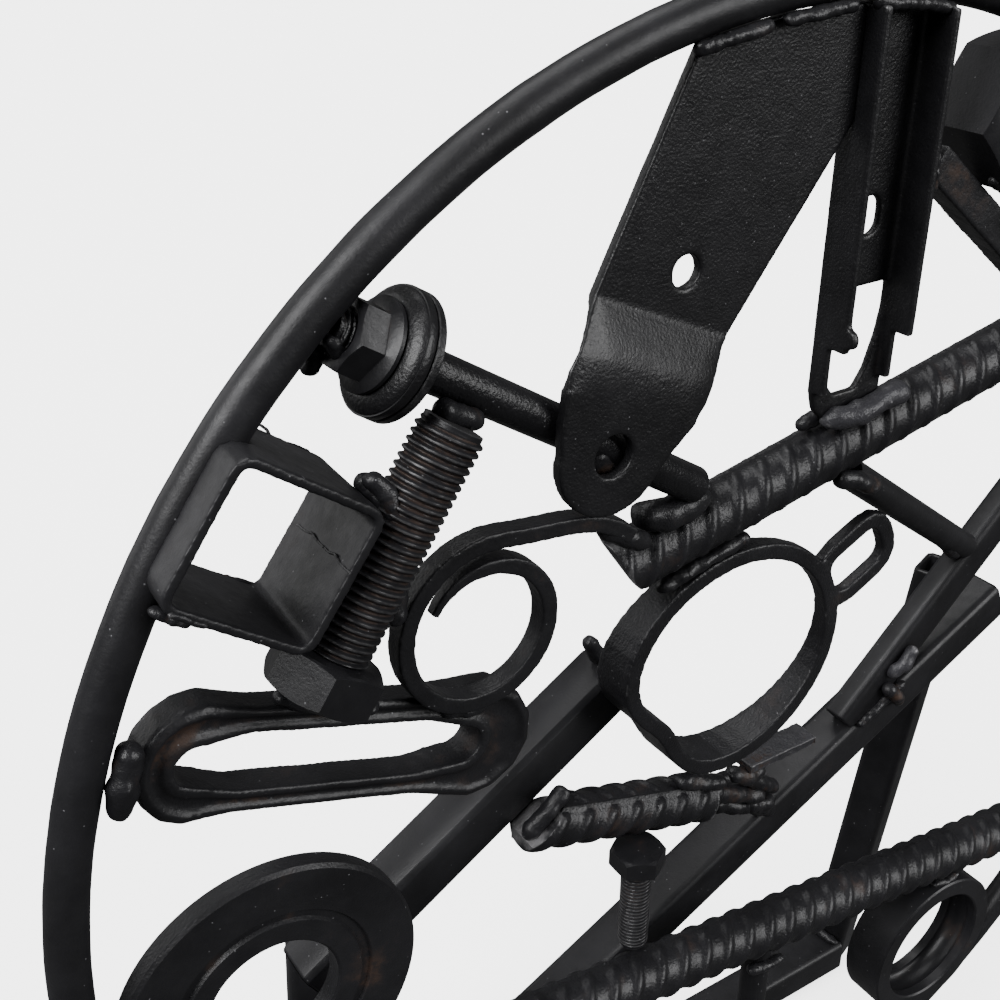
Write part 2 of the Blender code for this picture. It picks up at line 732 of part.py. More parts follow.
def build_collar(neighbours):
    """Cast ring, deepest on its lower left, in one piece with the ear on its upper right."""
    steps = 44
    loops = []
    for i in range(steps):
        a = 2 * PI * i / steps
        outer = collar_point(a, 0)
        inner = collar_point(a, COLLAR_WALL)
        share = (1 - math.cos(a - COLLAR_SHALLOW_AT)) / 2
        back = Y * (COLLAR_SHALLOW + (COLLAR_DEEP - COLLAR_SHALLOW) * share)
        loops += [[inner, outer, outer + back, inner + back]]
    at = in_disc(COLLAR_CENTRE, COLLAR_FRONT)
    collar = make("collar", loft(loops, ring=True), 0.04, 0.45, at, sharp=35)
    slot = rounded_box(EAR_SLOT_LENGTH, EAR_SLOT_WIDTH, EAR_SLOT_WIDTH * 0.3, 3)
    whole = (EAR_SLOT_LENGTH + 2 * EAR_WALL, EAR_SLOT_WIDTH + 2 * EAR_WALL)
    wide = rounded_box(*whole, EAR_SLOT_WIDTH * 0.3 + EAR_WALL, 3)
    loops = [
        [Vector((x, y, z)) for x, z in outline]
        for outline, y in ((wide, 0), (wide, EAR_DEPTH), (slot, EAR_DEPTH), (slot, 0))
    ]
    ear_at = at + heading(EAR_AT) * EAR_FROM_CENTRE + Y * (COLLAR_SHALLOW - EAR_DEPTH) / 2
    ear = cutter("ear", loft(loops, ring=True), ear_at, Matrix.Rotation(-EAR_TILT, 3, "Y"))
    apply_boolean(collar, ear, "UNION")
    cope(collar, *neighbours)
    return collar


def build_channel(main_bar):
    """Pressed channel, open to the front: a web with a hole and a slot, and two stepped flanges."""
    top = HOOP_RADIUS
    left = CHANNEL_LEFT
    right = left + CHANNEL_WIDTH
    t = CHANNEL_THICKNESS
    corner = CHANNEL_CORNER
    web = [(right, CHANNEL_BOTTOM), (right, top), (left, top), (left, CHANNEL_BOTTOM + corner)]
    web += [
        (left + corner - corner * math.cos(a), CHANNEL_BOTTOM + corner - corner * math.sin(a))
        for a in (PI / 6, PI / 3, PI / 2)
    ]
    web_at = (0, CHANNEL_BACK - t, 0)
    channel = make("channel_bracket", plate(web, t), 0.04, 0.4, web_at, sharp=30)
    back = CHANNEL_BACK
    nub_depth, nub_height = CHANNEL_NUB
    for name, x in (("left_flange", left), ("right_flange", right - t)):
        low = CHANNEL_BOTTOM + corner
        front = back - CHANNEL_FLANGE
        side = [
            (back, low),
            (back - CHANNEL_LOW_FLANGE, low),
            (back - CHANNEL_LOW_FLANGE, CHANNEL_FLANGE_STEP - TOUCH),
            (front, CHANNEL_FLANGE_STEP),
        ]
        if x == left:
            side += [
                (front, CHANNEL_NUB_AT - nub_height / 2),
                (front - nub_depth * 0.8, CHANNEL_NUB_AT - nub_height / 3),
                (front - nub_depth, CHANNEL_NUB_AT),
                (front - nub_depth * 0.7, CHANNEL_NUB_AT + nub_height / 3),
                (front, CHANNEL_NUB_AT + nub_height / 2),
            ]
        side += [(front, top), (back, top)]
        loops = [[Vector((x0, y, z)) for y, z in side] for x0 in (x, x + t)]
        flange = cutter("channel_" + name, loft(loops))
        apply_boolean(channel, flange, "UNION")
    inner_left = left + t + TOUCH
    inner_right = right - t - TOUCH
    foot_left, foot_right = CHANNEL_SLOT_FOOT
    low, high = CHANNEL_SLOT_BOTTOM, CHANNEL_SLOT_TOP
    rise = (high - low) / 4
    slot = [
        (foot_left, low),
        (foot_right, low),
        (foot_right + (inner_right - foot_right) * 0.45, low + rise * 0.7),
        (inner_right - (inner_right - foot_right) * 0.15, low + 2 * rise),
        (inner_right, low + 3 * rise),
        (inner_right, high),
        (inner_left + (foot_left - inner_left) * 0.5, high),
        (inner_left, high - rise * 0.6),
        (inner_left, low + rise),
    ]
    behind = (0, CHANNEL_BACK - 2 * t, 0)
    apply_boolean(channel, cutter("channel_slot", plate(slot, 3 * t), behind), "DIFFERENCE")
    wide, tall = CHANNEL_HOLE
    at_x, at_z = CHANNEL_HOLE_AT
    hole = [(x + at_x, z + at_z) for x, z in rounded_box(wide, tall, wide * 0.49, 4)]
    apply_boolean(channel, cutter("channel_hole", plate(hole, 3 * t), behind), "DIFFERENCE")
    trim_to_hoop(channel)
    cope(channel, main_bar)


def build_braces():
    """Square tubes in one plane behind the disc, and the strut that joins one to the main rebar."""
    top = in_disc(LEFT_BRACE_TOP, FRAME_MIDDLE)
    way = -heading(LEFT_BRACE_RISE)
    tube = box_tube(FRAME_TUBE, FRAME_TUBE, LEFT_BRACE_LENGTH)
    left = make("left_brace", tube, 0.04, 0.45, top, along(way))
    rise = heading(LONG_BRACE_RISE)
    point = in_disc(LONG_BRACE_POINT, FRAME_MIDDLE)
    length = LONG_BRACE_LEFT + LONG_BRACE_RIGHT
    tube = box_tube(FRAME_TUBE, FRAME_TUBE, length)
    make("long_brace", tube, 0.04, 0.4, point - rise * LONG_BRACE_LEFT, along(rise))
    normal = heading(LONG_BRACE_RISE + PI / 2)
    foot = point + rise * OFFCUT_FOOT + normal * OFFCUT_ABOVE
    foot.y = FRAME_FRONT + OFFCUT_DEPTH / 2
    tube = box_tube(OFFCUT_HEIGHT, OFFCUT_DEPTH, OFFCUT_LENGTH)
    offcut = make("tube_offcut", tube, 0.04, 0.4, foot, along(heading(OFFCUT_RISE)))
    trim_side(offcut, point + normal * (FRAME_TUBE / 2 + GAP), LONG_BRACE_RISE, -1)
    trim_to_hoop(offcut)
    return left, foot + heading(OFFCUT_RISE + PI / 2) * (OFFCUT_HEIGHT / 2 + GAP)


def build_strut(main_bar, offcut_top):
    start = Vector(STRUT_TOP)
    way = Vector(STRUT_END) - start
    strut = make("round_strut", rod(STRUT_DIAMETER / 2, way.length), 0.04, 0.4, start, along(way))
    cope(strut, main_bar)
    trim_side(strut, offcut_top, OFFCUT_RISE, -1)
    return strut


def build_short_rebar(left_brace):
    end = Vector(SHORT_REBAR_END)
    way = -heading(SHORT_REBAR_FALL)
    bar = ribbed(SHORT_REBAR_CORE, REBAR_RIB, RIB_SPACING, SHORT_REBAR_LENGTH)
    short = make("short_rebar", bar, 0.05, 0.45, end, along(way))
    normal = heading(LEFT_BRACE_RISE + PI / 2)
    under = in_disc(LEFT_BRACE_TOP, FRAME_MIDDLE) - normal * (FRAME_TUBE / 2 + GAP)
    trim_side(short, under, LEFT_BRACE_RISE, 1)
    return short


def build_filler(main_bar, lower_bar):
    """Plainer pieces in the rest of the disc, each against the hoop and a bar."""
    bar = Vector(MAIN_REBAR_END)
    rise = heading(MAIN_REBAR_RISE)
    flat = Vector((bar.x, 0, bar.z))
    centre = pocket(flat, rise, REBAR_REACH, BEARING_RADIUS, 1, 1)
    body = pipe(BEARING_RADIUS, BEARING_WALL, BEARING_DEPTH, 24)
    ring_in_pocket("bearing_ring", body, centre, 0.06, 0.35)
    centre = pocket(flat, rise, REBAR_REACH, RIGHT_PIPE_RADIUS, -1, 1)
    centre.y = FRAME_FRONT - GAP - RIGHT_PIPE_DEPTH / 2
    body = pipe(RIGHT_PIPE_RADIUS, PIPE_WALL, RIGHT_PIPE_DEPTH, 24)
    ring_in_pocket("right_pipe", body, centre, 0.05, 0.5)
    nut = heading(LARGE_NUT_AT) * (HOOP_INSIDE - LARGE_NUT_FLATS / 2)
    way = heading(TIE_HEADING)
    below = heading(TIE_HEADING - PI / 2) * ((LARGE_NUT_FLATS + TIE_SECTION[0]) / 2 + TIE_FROM_NUT)
    start = nut + below - way * TIE_BEFORE_NUT
    over = heading(MAIN_REBAR_RISE + PI / 2)
    length = (start - flat).dot(over) / -way.dot(over)
    body = box(TIE_SECTION[0], TIE_SECTION[1], length)
    tie = make("tie_bar", body, 0.05, 0.45, start + way * length / 2, along(way))
    trim_side(tie, in_disc((CHANNEL_LEFT + CHANNEL_WIDTH + GAP, 0)), PI / 2, 1)
    cope(tie, main_bar)
    loops = [
        circle(LARGE_NUT_BORE / 2, -LARGE_NUT_HEIGHT / 2, 12),
        hexagon(LARGE_NUT_FLATS * 0.94, -LARGE_NUT_HEIGHT / 2),
        hexagon(LARGE_NUT_FLATS, -LARGE_NUT_HEIGHT * 0.42),
        hexagon(LARGE_NUT_FLATS, LARGE_NUT_HEIGHT * 0.42),
        hexagon(LARGE_NUT_FLATS * 0.94, LARGE_NUT_HEIGHT / 2),
        circle(LARGE_NUT_BORE / 2, LARGE_NUT_HEIGHT / 2, 12),
    ]
    turn = along(-Y, heading(LARGE_NUT_AT))
    make("large_nut", loft(loops, ring=True), 0.05, 0.5, nut, turn)
    low = Vector(lower_bar.location)
    way = (lower_bar.rotation_euler.to_matrix() @ Z).normalized()
    centre = pocket(low, way, REBAR_REACH, FLANGE_RADIUS, 1, -1)
    flange = pipe(FLANGE_RADIUS, FLANGE_RADIUS - FLANGE_BORE, FLANGE_THICKNESS, 24)
    ring_in_pocket("flange_plate", flange, centre, 0.05, 0.45)
    centre = pocket(low, way, REBAR_REACH, LEFT_PIPE_RADIUS, -1, -1)
    ring_in_pocket("left_pipe", pipe(LEFT_PIPE_RADIUS, PIPE_WALL, LEFT_PIPE_DEPTH, 24), centre, 0.05, 0.5)
    centre = pocket(low, way, REBAR_REACH, LOWER_BEARING_RADIUS, -1, 1)
    lower_ring = pipe(LOWER_BEARING_RADIUS, BEARING_WALL * 1.2, BEARING_DEPTH * 1.2, 24)
    ring_in_pocket("lower_bearing_ring", lower_ring, centre, 0.06, 0.35)
    # Round strut that stands on the bottom of the hoop and holds up the lower rebar
    start = in_disc((FOOT_STRUT_X, low.z + (FOOT_STRUT_X - low.x) * way.z / way.x))
    length = start.z + math.sqrt(HOOP_INSIDE**2 - (abs(FOOT_STRUT_X) + STRUT_DIAMETER / 2) ** 2)
    foot = make("foot_strut", rod(STRUT_DIAMETER / 2, length), 0.04, 0.4, start, along(-Z))
    cope(foot, lower_bar)
    return low, way


def build_small_bolt(short, lower_point, lower_way):
    """Small bolt between the short rebar and the lower one."""
    end = Vector(SHORT_REBAR_END)
    way = -heading(SHORT_REBAR_FALL)
    reach = SHORT_REBAR_LENGTH * 0.42
    under = Vector((way.z, 0, -way.x))
    if under.z > 0:
        under = -under
    head = end + way * reach + under * (SHORT_REBAR_CORE / 2 + REBAR_RIB + GAP)
    head.y = (end.y + lower_point.y) / 2
    floor = lower_point.z + (head.x - lower_point.x) * lower_way.z / lower_way.x + REBAR_REACH + GAP
    slope = REBAR_REACH * (1 / lower_way.x - 1) + SMALL_BOLT_DIAMETER / 2 * abs(lower_way.z)
    side = SMALL_BOLT_FLATS / 2 * abs(under.x)
    length = head.z - side - floor - slope - SMALL_BOLT_HEAD
    thread = (SMALL_BOLT_DIAMETER, THREAD_DEPTH, 3 * STUD_PITCH)
    body = bolt(*thread, length, SMALL_BOLT_FLATS, SMALL_BOLT_HEAD)
    tip = Vector((head.x, head.y, floor + slope))
    make("small_bolt", body, 0.05, 0.4, tip, along(Z))


def build_shim():
    """Scrap of flat bar against the front of the long brace."""
    at = in_disc(SHIM_CENTRE, FRAME_FRONT - GAP - SHIM_WIDTH / 2)
    make("shim_plate", box(SHIM_LENGTH, SHIM_WIDTH, SHIM_THICKNESS), 0.08, 0.5, at)


def build_legs():
    """Legs behind the braces, splayed back to the floor, and a cross rail and a front rail between them."""
    floor = -HUB_HEIGHT
    near_y = FRAME_FRONT + FRAME_TUBE + GAP
    rear = 0.0
    legs = []
    for name, side, top in (("right_leg", 1, LEG_TOP_RIGHT), ("left_leg", -1, LEG_TOP_LEFT)):
        height = top - floor
        corner = Vector((side * LEG_NEAR_EDGE, near_y, top))
        turn = Matrix.Rotation(side * LEG_TURN, 3, "Z")
        middle = corner + turn @ Vector((side * FRAME_TUBE / 2, FRAME_TUBE / 2, 0))
        foot = middle + Y * LEG_SPLAY * height - Z * height
        shift = foot - middle
        outer = rounded_box(FRAME_TUBE, FRAME_TUBE, FRAME_WALL, 1)
        inner = rounded_box(FRAME_TUBE - 2 * FRAME_WALL, FRAME_TUBE - 2 * FRAME_WALL, FRAME_WALL / 2, 1)
        loops = []
        for outline, at in ((outer, 0), (outer, 1), (inner, 1), (inner, 0)):
            loops += [[turn @ Vector((x, y, 0)) + shift * at for x, y in outline]]
        rear = max(rear, middle.y + max(point.y for loop in loops for point in loop))
        make(name, loft(loops, ring=True), 0.04, 0.45, middle)
        legs += [(side, turn, corner + shift)]
    foot_y = foot.y - LEG_SPLAY * FRAME_TUBE / 2
    tube = box_tube(FRAME_TUBE, FRAME_TUBE, 2 * LEG_NEAR_EDGE)
    cross_at = Vector((-LEG_NEAR_EDGE, foot_y, floor + FRAME_TUBE / 2))
    cross = make("base_cross_rail", tube, 0.04, 0.45, cross_at, along(X))
    for side, turn, edge in legs:
        out = turn @ X * side
        block_at = edge + out * (0.1 - BASE_END_GAP)
        block = cutter("cross_rail_end_%d" % (side + 1), box(0.2, 0.2, 0.1), block_at, turn)
        apply_boolean(cross, block, "DIFFERENCE")
    # The front rail reaches as far forward as the legs reach back
    length = foot_y - FRAME_TUBE / 2 - GAP + rear
    front_at = Vector((0, -rear, floor + FRAME_TUBE / 2))
    make("base_front_rail", box_tube(FRAME_TUBE, FRAME_TUBE, length), 0.04, 0.45, front_at, along(Y, Z))


def main():
    clear_scene()
    centre = bpy.data.objects.new("disc_centre", None)
    centre.location = (0, 0, HUB_HEIGHT)
    bpy.context.scene.collection.objects.link(centre)
    hoop()
    main_bar, lower_bar = build_rebars()
    stud, stud_start, stud_way, nut = build_stud()
    hoop_bar = bpy.data.objects["hoop"]
    cope(stud, hoop_bar, main_bar)
    cope(nut, hoop_bar)
    tube_slice = build_bolt(stud_start, stud_way)
    cope(tube_slice, hoop_bar)
    build_strap()
    scroll = build_scroll(main_bar)
    link = build_links(lower_bar)
    cope(link, scroll)
    build_channel(main_bar)
    left, offcut_top = build_braces()
    strut = build_strut(main_bar, offcut_top)
    build_collar((main_bar, left, strut))
    short = build_short_rebar(left)
    low, way = build_filler(main_bar, lower_bar)
    build_small_bolt(short, low, way)
    build_shim()
    build_legs()


main()
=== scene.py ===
import math

import bmesh
import bpy
import numpy as np
from bpy.props import FloatProperty, FloatVectorProperty, IntProperty, PointerProperty
from mathutils import Matrix, Vector


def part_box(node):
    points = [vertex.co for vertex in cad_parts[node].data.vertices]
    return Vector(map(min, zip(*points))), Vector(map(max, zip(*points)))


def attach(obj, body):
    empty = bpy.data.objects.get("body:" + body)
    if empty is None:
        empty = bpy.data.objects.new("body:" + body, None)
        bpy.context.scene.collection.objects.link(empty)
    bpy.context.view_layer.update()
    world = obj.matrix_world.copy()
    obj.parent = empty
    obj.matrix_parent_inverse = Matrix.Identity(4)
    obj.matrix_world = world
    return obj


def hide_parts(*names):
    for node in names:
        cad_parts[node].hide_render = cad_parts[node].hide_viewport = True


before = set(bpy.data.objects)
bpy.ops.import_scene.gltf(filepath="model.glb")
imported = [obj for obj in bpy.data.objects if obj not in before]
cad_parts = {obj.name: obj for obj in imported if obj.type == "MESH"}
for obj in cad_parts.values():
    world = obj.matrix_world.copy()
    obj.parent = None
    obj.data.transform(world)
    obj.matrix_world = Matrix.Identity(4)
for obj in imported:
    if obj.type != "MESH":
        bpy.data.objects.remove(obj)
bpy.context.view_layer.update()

bl_info = {
    "name": "Scrap metal disc",
    "version": (1, 0, 0),
    "blender": (4, 5, 0),
    "location": "3D View > Sidebar > Scrap disc",
    "description": "Builds the pieces, finishes, floor, lights and camera of a welded scrap metal disc",
    "category": "Object",
}

PI = math.pi
Y = Vector((0, 1, 0))
Z = Vector((0, 0, 1))
BODY = "root"

# Sizes that the pieces share, in metres
HOOP_RADIUS = 0.2627
HOOP_BAR = 0.0127
HUB = Vector((0, 0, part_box("hoop")[0].z + HOOP_BAR / 2 + HOOP_RADIUS))
HOOP_INSIDE = HOOP_RADIUS - HOOP_BAR / 2
ROD = 0.0125
REBAR_CORE = 0.0205
RIB_SPACING = 0.0118
SHORT_CORE = 0.0185
FRAME_FRONT = 0.0223
TUBE = 0.020
STRUT_RADIUS = 0.006

# Ribbed bars: space between rings, how far the core lies inside the solid, and the turn about the bar's axis
RING_GAP = 0.0006
LOWER_RING_GAP = 0.0008
CORE_INSET = 0.0003
BAR_TURN = -0.51

# Torch cut at the main bar's left end, from the bar's start, and the room that the lower bar's ribs need
TORCH_CUT = 0.004
LOWER_RIB_ROOM = 0.0007

# Threads: rings in one turn
STUD_RINGS = 14
BOLT_RINGS = 12


def heading(angle):
    """Unit vector in the plane of the disc, at an angle from +X towards +Z."""
    return Vector((math.cos(angle), 0, math.sin(angle)))


def disc(x, y, z):
    """Point given in millimetres from the middle of the disc."""
    return HUB + Vector((x, y, z)) / 1000


def along(direction, side=Y):
    """Rotation that takes +Z to a direction and +Y as near as can be to a side."""
    z = direction.normalized()
    x = side.cross(z).normalized()
    return Matrix((x, z.cross(x), z)).transposed().to_4x4()


# Where each bar starts, which way it runs and how long it is
REBAR_START = disc(-70.0, 8.0, 83.5)
REBAR_WAY = heading(math.radians(11.6))
STUD_START = HUB + heading(math.radians(131.6)) * HOOP_INSIDE
STUD_WAY = heading(math.radians(-32.5))
STUD_LENGTH = 0.150
STUD_THREAD = 0.021
BOLT_WAY = -heading(math.radians(56.2))
BOLT_UNDER = Vector((STUD_WAY.z, 0, -STUD_WAY.x))
BOLT_TIP = STUD_START + STUD_WAY * 0.042 + BOLT_UNDER * (ROD / 2 + 0.0034) - Y * 0.010
BOLT_LENGTH = 0.0715
SHORT_START = disc(-12.0, 16.0, -44.0)
SHORT_WAY = -heading(math.radians(-17.0))
SHORT_LENGTH = 0.090
SHORT_RINGS = 150
LOWER_LEFT = heading(math.radians(198.0)) * HOOP_INSIDE
LOWER_RIGHT = heading(math.radians(326.0)) * HOOP_INSIDE
BRACE_ACROSS = heading(math.radians(31.6 + 90))
BRACE_PLACE = disc(-49.8, FRAME_FRONT * 1000 + 10, 20.0)
STRUT_START = disc(37.0, 8.0, 90.5)
STRUT_WAY = disc(153.0, 29.0, 8.5) - STRUT_START
OFFCUT_ACROSS = heading(math.radians(43.5 + 90))
OFFCUT_PLACE = disc(71.5, 28, -45.6)
STRAP_UP = heading(math.radians(66.0))
STRAP_BEND = disc(-85.5, 0, 136.8) + STRAP_UP * 0.0285

# Nut and washers on the stud, each as heights from the stud's start
NUT_LOW = 0.0035
NUT_HIGH = 0.0147
DISH_LOW = 0.0150
DISH_HIGH = 0.0208
FLAT_LOW = 0.0211
FLAT_HIGH = 0.0237
WASHER_RADIUS = 0.0185
BORE = ROD / 2 + 0.0002

# Camera, and the sun lights: name, the way that each comes from, its spread in degrees and its strength
CAMERA_PLACE = disc(-308.37, -291.73, 312.34)
CAMERA_AZIMUTH = math.radians(33)
CAMERA_DOWN = math.radians(28)
CAMERA_LENS = 48.6
CAMERA_SENSOR = 36
LIGHTS = (
    ("key", (-0.8, -0.15, 0.8), 42, 6.6),
    ("side", (0.60, -0.80, 0.36), 36, 3.2),
    ("top", (0.1, 0.35, 1.0), 40, 1.8),
    ("back", (-0.47, 0.86, 0.25), 44, 0.7),
)
WORLD_STRENGTH = 0.13
FLOOR_HALF = 30
FLOOR_DROP = 0.0002
FLOOR_GLOW = 2.4

# Weld runs: radius of the bead, then points along it, all in millimetres from the middle of the disc
WELDS = (
    ("stud_to_hoop", 2.6, ((-171, -3, 189), (-169, -3, 186), (-168, -2, 184))),
    ("stud_to_hoop_back", 3.0, ((-174, 5, 186), (-171, 6, 182), (-173, 7, 179))),
    ("slice_to_bolt", 2.9, ((-165, -10, 151), (-162, -12, 147), (-161, -13, 142), (-160, -12, 137))),
    ("slice_to_hoop_top", 2.6, ((-203, -13, 167), (-201, -7, 165), (-199, 0, 163), (-198, 6, 163))),
    ("slice_to_hoop_low", 1.8, ((-226, -7, 130), (-223, -9, 128), (-220, -11, 127))),
    ("slice_to_bolt_back", 2.6, ((-165, -4, 148), (-163, -8, 144), (-162, -10, 139))),
    ("bolt_to_stud", 3.4, ((-141, -6, 164), (-136, -6, 161), (-131, -5, 158))),
    ("bolt_head_to_link", 3.0, ((-192, 0, 86), (-184, -3, 82), (-176, -4, 78), (-167, -4, 75))),
    ("scroll_to_bolt", 4.4, ((-157, -4, 111), (-158, -5, 105))),
    ("scroll_to_link", 2.6, ((-139, -2, 61), (-132, -3, 59), (-126, -2, 59))),
    ("tail_to_rebar", 3.5, ((-81, -2, 107), (-76, -3, 104), (-71, -3, 101), (-66, -2, 98))),
    ("stud_to_rebar", 5.6, ((-60, 4, 103), (-54, 2, 102), (-47, 2, 103), (-40, 3, 104))),
    ("behind_strap_hole", 5.0, ((-86, -1, 134), (-82, -1, 129))),
    ("stud_to_rebar_top", 3.4, ((-46, 6, 110), (-40, 7, 107), (-34, 7, 105))),
    ("channel_foot", 4.4, ((18, 1, 119), (25, -1, 119), (33, -1, 120), (41, 0, 121), (50, 1, 122))),
    ("channel_foot_back", 3.2, ((12, 8, 116), (22, 9, 117), (32, 9, 118), (40, 8, 120))),
    ("collar_to_rebar", 3.0, ((-50, 5, 72), (-42, 4, 75), (-33, 4, 77), (-24, 4, 79), (-15, 5, 80))),
    ("strut_top", 3.8, ((27, 1, 93), (35, 0, 91), (43, 1, 86))),
    ("strut_top_back", 3.2, ((30, 12, 92), (38, 15, 90), (45, 14, 84))),
    ("strut_to_offcut", 3.0, ((121, 24, 27), (126, 23, 22), (131, 25, 18))),
    ("collar_to_brace", 3.2, ((-60, 31, 38), (-56, 32, 31), (-52, 32, 25))),
    ("collar_to_short_rebar", 3.6, ((-27, 12, -27), (-18, 11, -31), (-9, 11, -35))),
    ("short_rebar_to_brace", 3.6, ((-84, 14, -9), (-91, 13, -14), (-97, 14, -20))),
    ("shim_end", 3.8, ((2, 14, -38), (7, 13, -41), (14, 14, -42))),
    ("pile_left", 4.4, ((-6, 19, -48), (3, 20, -52), (12, 20, -57), (21, 20, -61))),
    ("pile_middle", 4.0, ((2, 23, -60), (11, 22, -64), (20, 22, -68), (29, 21, -70))),
    ("pile_right", 3.6, ((14, 19, -49), (22, 20, -55), (31, 21, -62))),
    ("offcut_seam", 2.2, ((84, 22, -52), (95, 22, -46), (107, 22, -40))),
    ("offcut_lump", 3.5, ((99, 21, -30), (104, 19, -26), (108, 20, -22))),
    ("offcut_lump_low", 3.4, ((97, 20, -38), (101, 19, -42), (104, 20, -46))),
    ("link_to_hoop", 4.2, ((-237, -4, 88), (-240, -5, 80), (-242, -4, 72))),
    ("strap_to_hoop_left", 2.2, ((-57, -4, 249), (-46, -5, 251), (-34, -5, 253))),
    ("strap_to_hoop_right", 2.2, ((-26, -5, 254), (-14, -5, 255), (-2, -5, 256))),
    ("channel_to_hoop", 2.2, ((9, -5, 256), (20, -6, 255), (31, -5, 254), (40, -5, 252))),
    ("rebar_to_hoop", 3.4, ((206, -3, 149), (210, -4, 143), (213, -3, 136))),
    ("bearing_to_rebar", 2.2, ((147, -6, 139), (153, -7, 139), (159, -6, 141))),
    ("bearing_to_hoop", 2.2, ((172, -5, 189), (176, -6, 185), (180, -5, 181))),
    ("tie_to_rebar", 2.2, ((111, -2, 150), (117, -3, 147), (122, -1, 146))),
    ("tie_to_channel", 2.0, ((43, -5, 208), (43, -6, 202), (44, -5, 197))),
    ("nut_to_hoop", 2.4, ((86, -6, 241), (94, -7, 238), (102, -6, 234))),
    ("nut_to_tie", 2.0, ((73, -6, 195), (78, -7, 192), (84, -6, 190))),
    ("pipe_to_rebar", 2.2, ((196, -5, 126), (203, -6, 126), (209, -5, 127))),
    ("pipe_to_hoop", 2.2, ((233, -5, 106), (235, -6, 99), (237, -5, 92))),
    ("second_link_top", 2.2, ((246, -5, 22), (249, -6, 14), (251, -5, 6))),
    ("second_link_low", 2.4, ((214, -5, -84), (208, -6, -88), (202, -5, -92))),
    ("flange_to_hoop", 2.4, ((-252, -4, -14), (-253, -5, -6), (-254, -4, 2))),
    ("flange_to_rebar", 2.4, ((-203, -4, -73), (-194, -5, -76), (-185, -4, -79))),
    ("left_pipe_to_rebar", 2.2, ((-158, -5, -103), (-149, -6, -105), (-140, -5, -107))),
    ("left_pipe_to_hoop", 2.2, ((-186, -5, -170), (-180, -6, -176), (-174, -5, -182))),
    ("foot_to_hoop", 2.2, ((4, -5, -254), (12, -6, -254), (20, -5, -253))),
    ("foot_to_rebar", 2.4, ((4, -6, -130), (12, -7, -131), (20, -6, -132))),
    ("ring_to_rebar", 2.2, ((119, -6, -142), (126, -7, -143), (133, -6, -143))),
    ("ring_to_hoop", 2.2, ((150, -5, -206), (156, -6, -201), (162, -5, -196))),
    ("lower_rebar_left", 2.6, ((-241, -4, -72), (-238, -5, -79), (-235, -4, -86))),
    ("lower_rebar_right", 2.6, ((205, -4, -138), (209, -5, -146), (207, -4, -152))),
    ("brace_to_leg_right", 2.6, ((160, 43, -30), (160, 43, -22), (160, 43, -14))),
    ("brace_to_leg_left", 2.6, ((-160, 43, -68), (-160, 43, -60), (-164, 43, -52))),
    ("right_leg_foot", 2.6, ((155, 74, -269), (153, 80, -268), (153, 86, -268))),
    ("left_leg_foot", 2.6, ((-155, 70, -269), (-153, 76, -268), (-153, 82, -268))),
    ("base_middle_left", 2.4, ((-11, 68, -284), (-11, 69, -277), (-11, 69, -271))),
    ("base_middle_right", 2.4, ((11, 68, -284), (11, 69, -277), (11, 69, -271))),
    ("hoop_to_base_left", 2.2, ((-9, -6, -268), (-8, 0, -268), (-9, 6, -268))),
    ("hoop_to_base_right", 2.2, ((9, -6, -268), (8, 0, -268), (9, 6, -268))),
    ("pile_to_brace", 4.2, ((20, 21, -67), (26, 22, -72), (33, 24, -77), (36, 27, -79))),
    ("pile_to_short_rebar", 4.4, ((-14, 19, -47), (-9, 19, -47), (-3, 19, -49))),
    ("shim_to_pile", 3.4, ((14, 18, -41), (14, 20, -46), (15, 21, -51))),
    ("shim_to_short_rebar", 3.0, ((-9, 15, -38), (-3, 15, -39), (3, 15, -40))),
)

# Welds with a bright, unpainted face
BRIGHT = ("channel_foot", "offcut_lump")

# Torch burrs and a seam on the slice of tube, as thin ragged beads: radius, then points, in millimetres
BURRS = (
    ("top", 1.2, ((-180, 19, 155), (-177, 19, 153), (-174, 20, 151), (-170, 20, 148))),
    ("curl", 0.6, ((-180, 19, 155), (-181, 20, 158), (-183, 20, 160))),
    ("low", 1.7, ((-205, 20, 121), (-201, 20, 118), (-196, 20, 115), (-190, 20, 111))),
    ("front", 1.0, ((-226, -20, 136), (-223, -20, 134), (-221, -20, 132), (-218, -20, 130))),
    (
        "seam", 0.55,
        ((-178, -20, 132), (-177.5, -13, 131.5), (-177.2, -10, 132.5), (-177, -6, 131), (-176.5, 2, 130.6),
         (-176.2, 6, 131), (-176, 10, 129.5), (-176, 16, 129)),
    ),
)


class DiscSizes(bpy.types.PropertyGroup):
    """Sizes of the fine detail."""

    rib_height: FloatProperty(
        name="Rib height", description="How far the ribs stand out of the reinforcing bar",
        default=0.0012, min=0, max=0.003, unit="LENGTH", precision=4,
    )
    bolt_pitch: FloatProperty(
        name="Bolt pitch", description="Rise of the big bolt's thread in one turn",
        default=0.0025, min=0.001, max=0.004, unit="LENGTH", precision=4,
    )
    stud_pitch: FloatProperty(
        name="Stud pitch", description="Rise of the stud's thread in one turn",
        default=0.00175, min=0.001, max=0.003, unit="LENGTH", precision=4,
    )
    dent_depth: FloatProperty(
        name="Dent depth", description="Depth of the hammer marks and dents in forged and cast pieces",
        default=0.0005, min=0, max=0.002, unit="LENGTH", precision=4,
    )
    edge_round: FloatProperty(
        name="Edge rounding", description="Radius on the corners of the square tubes",
        default=0.0016, min=0.0001, max=0.002, unit="LENGTH", precision=4,
    )
    weld_seed: IntProperty(
        name="Weld seed", description="Start of the random shapes of the weld beads", default=7, min=0,
    )


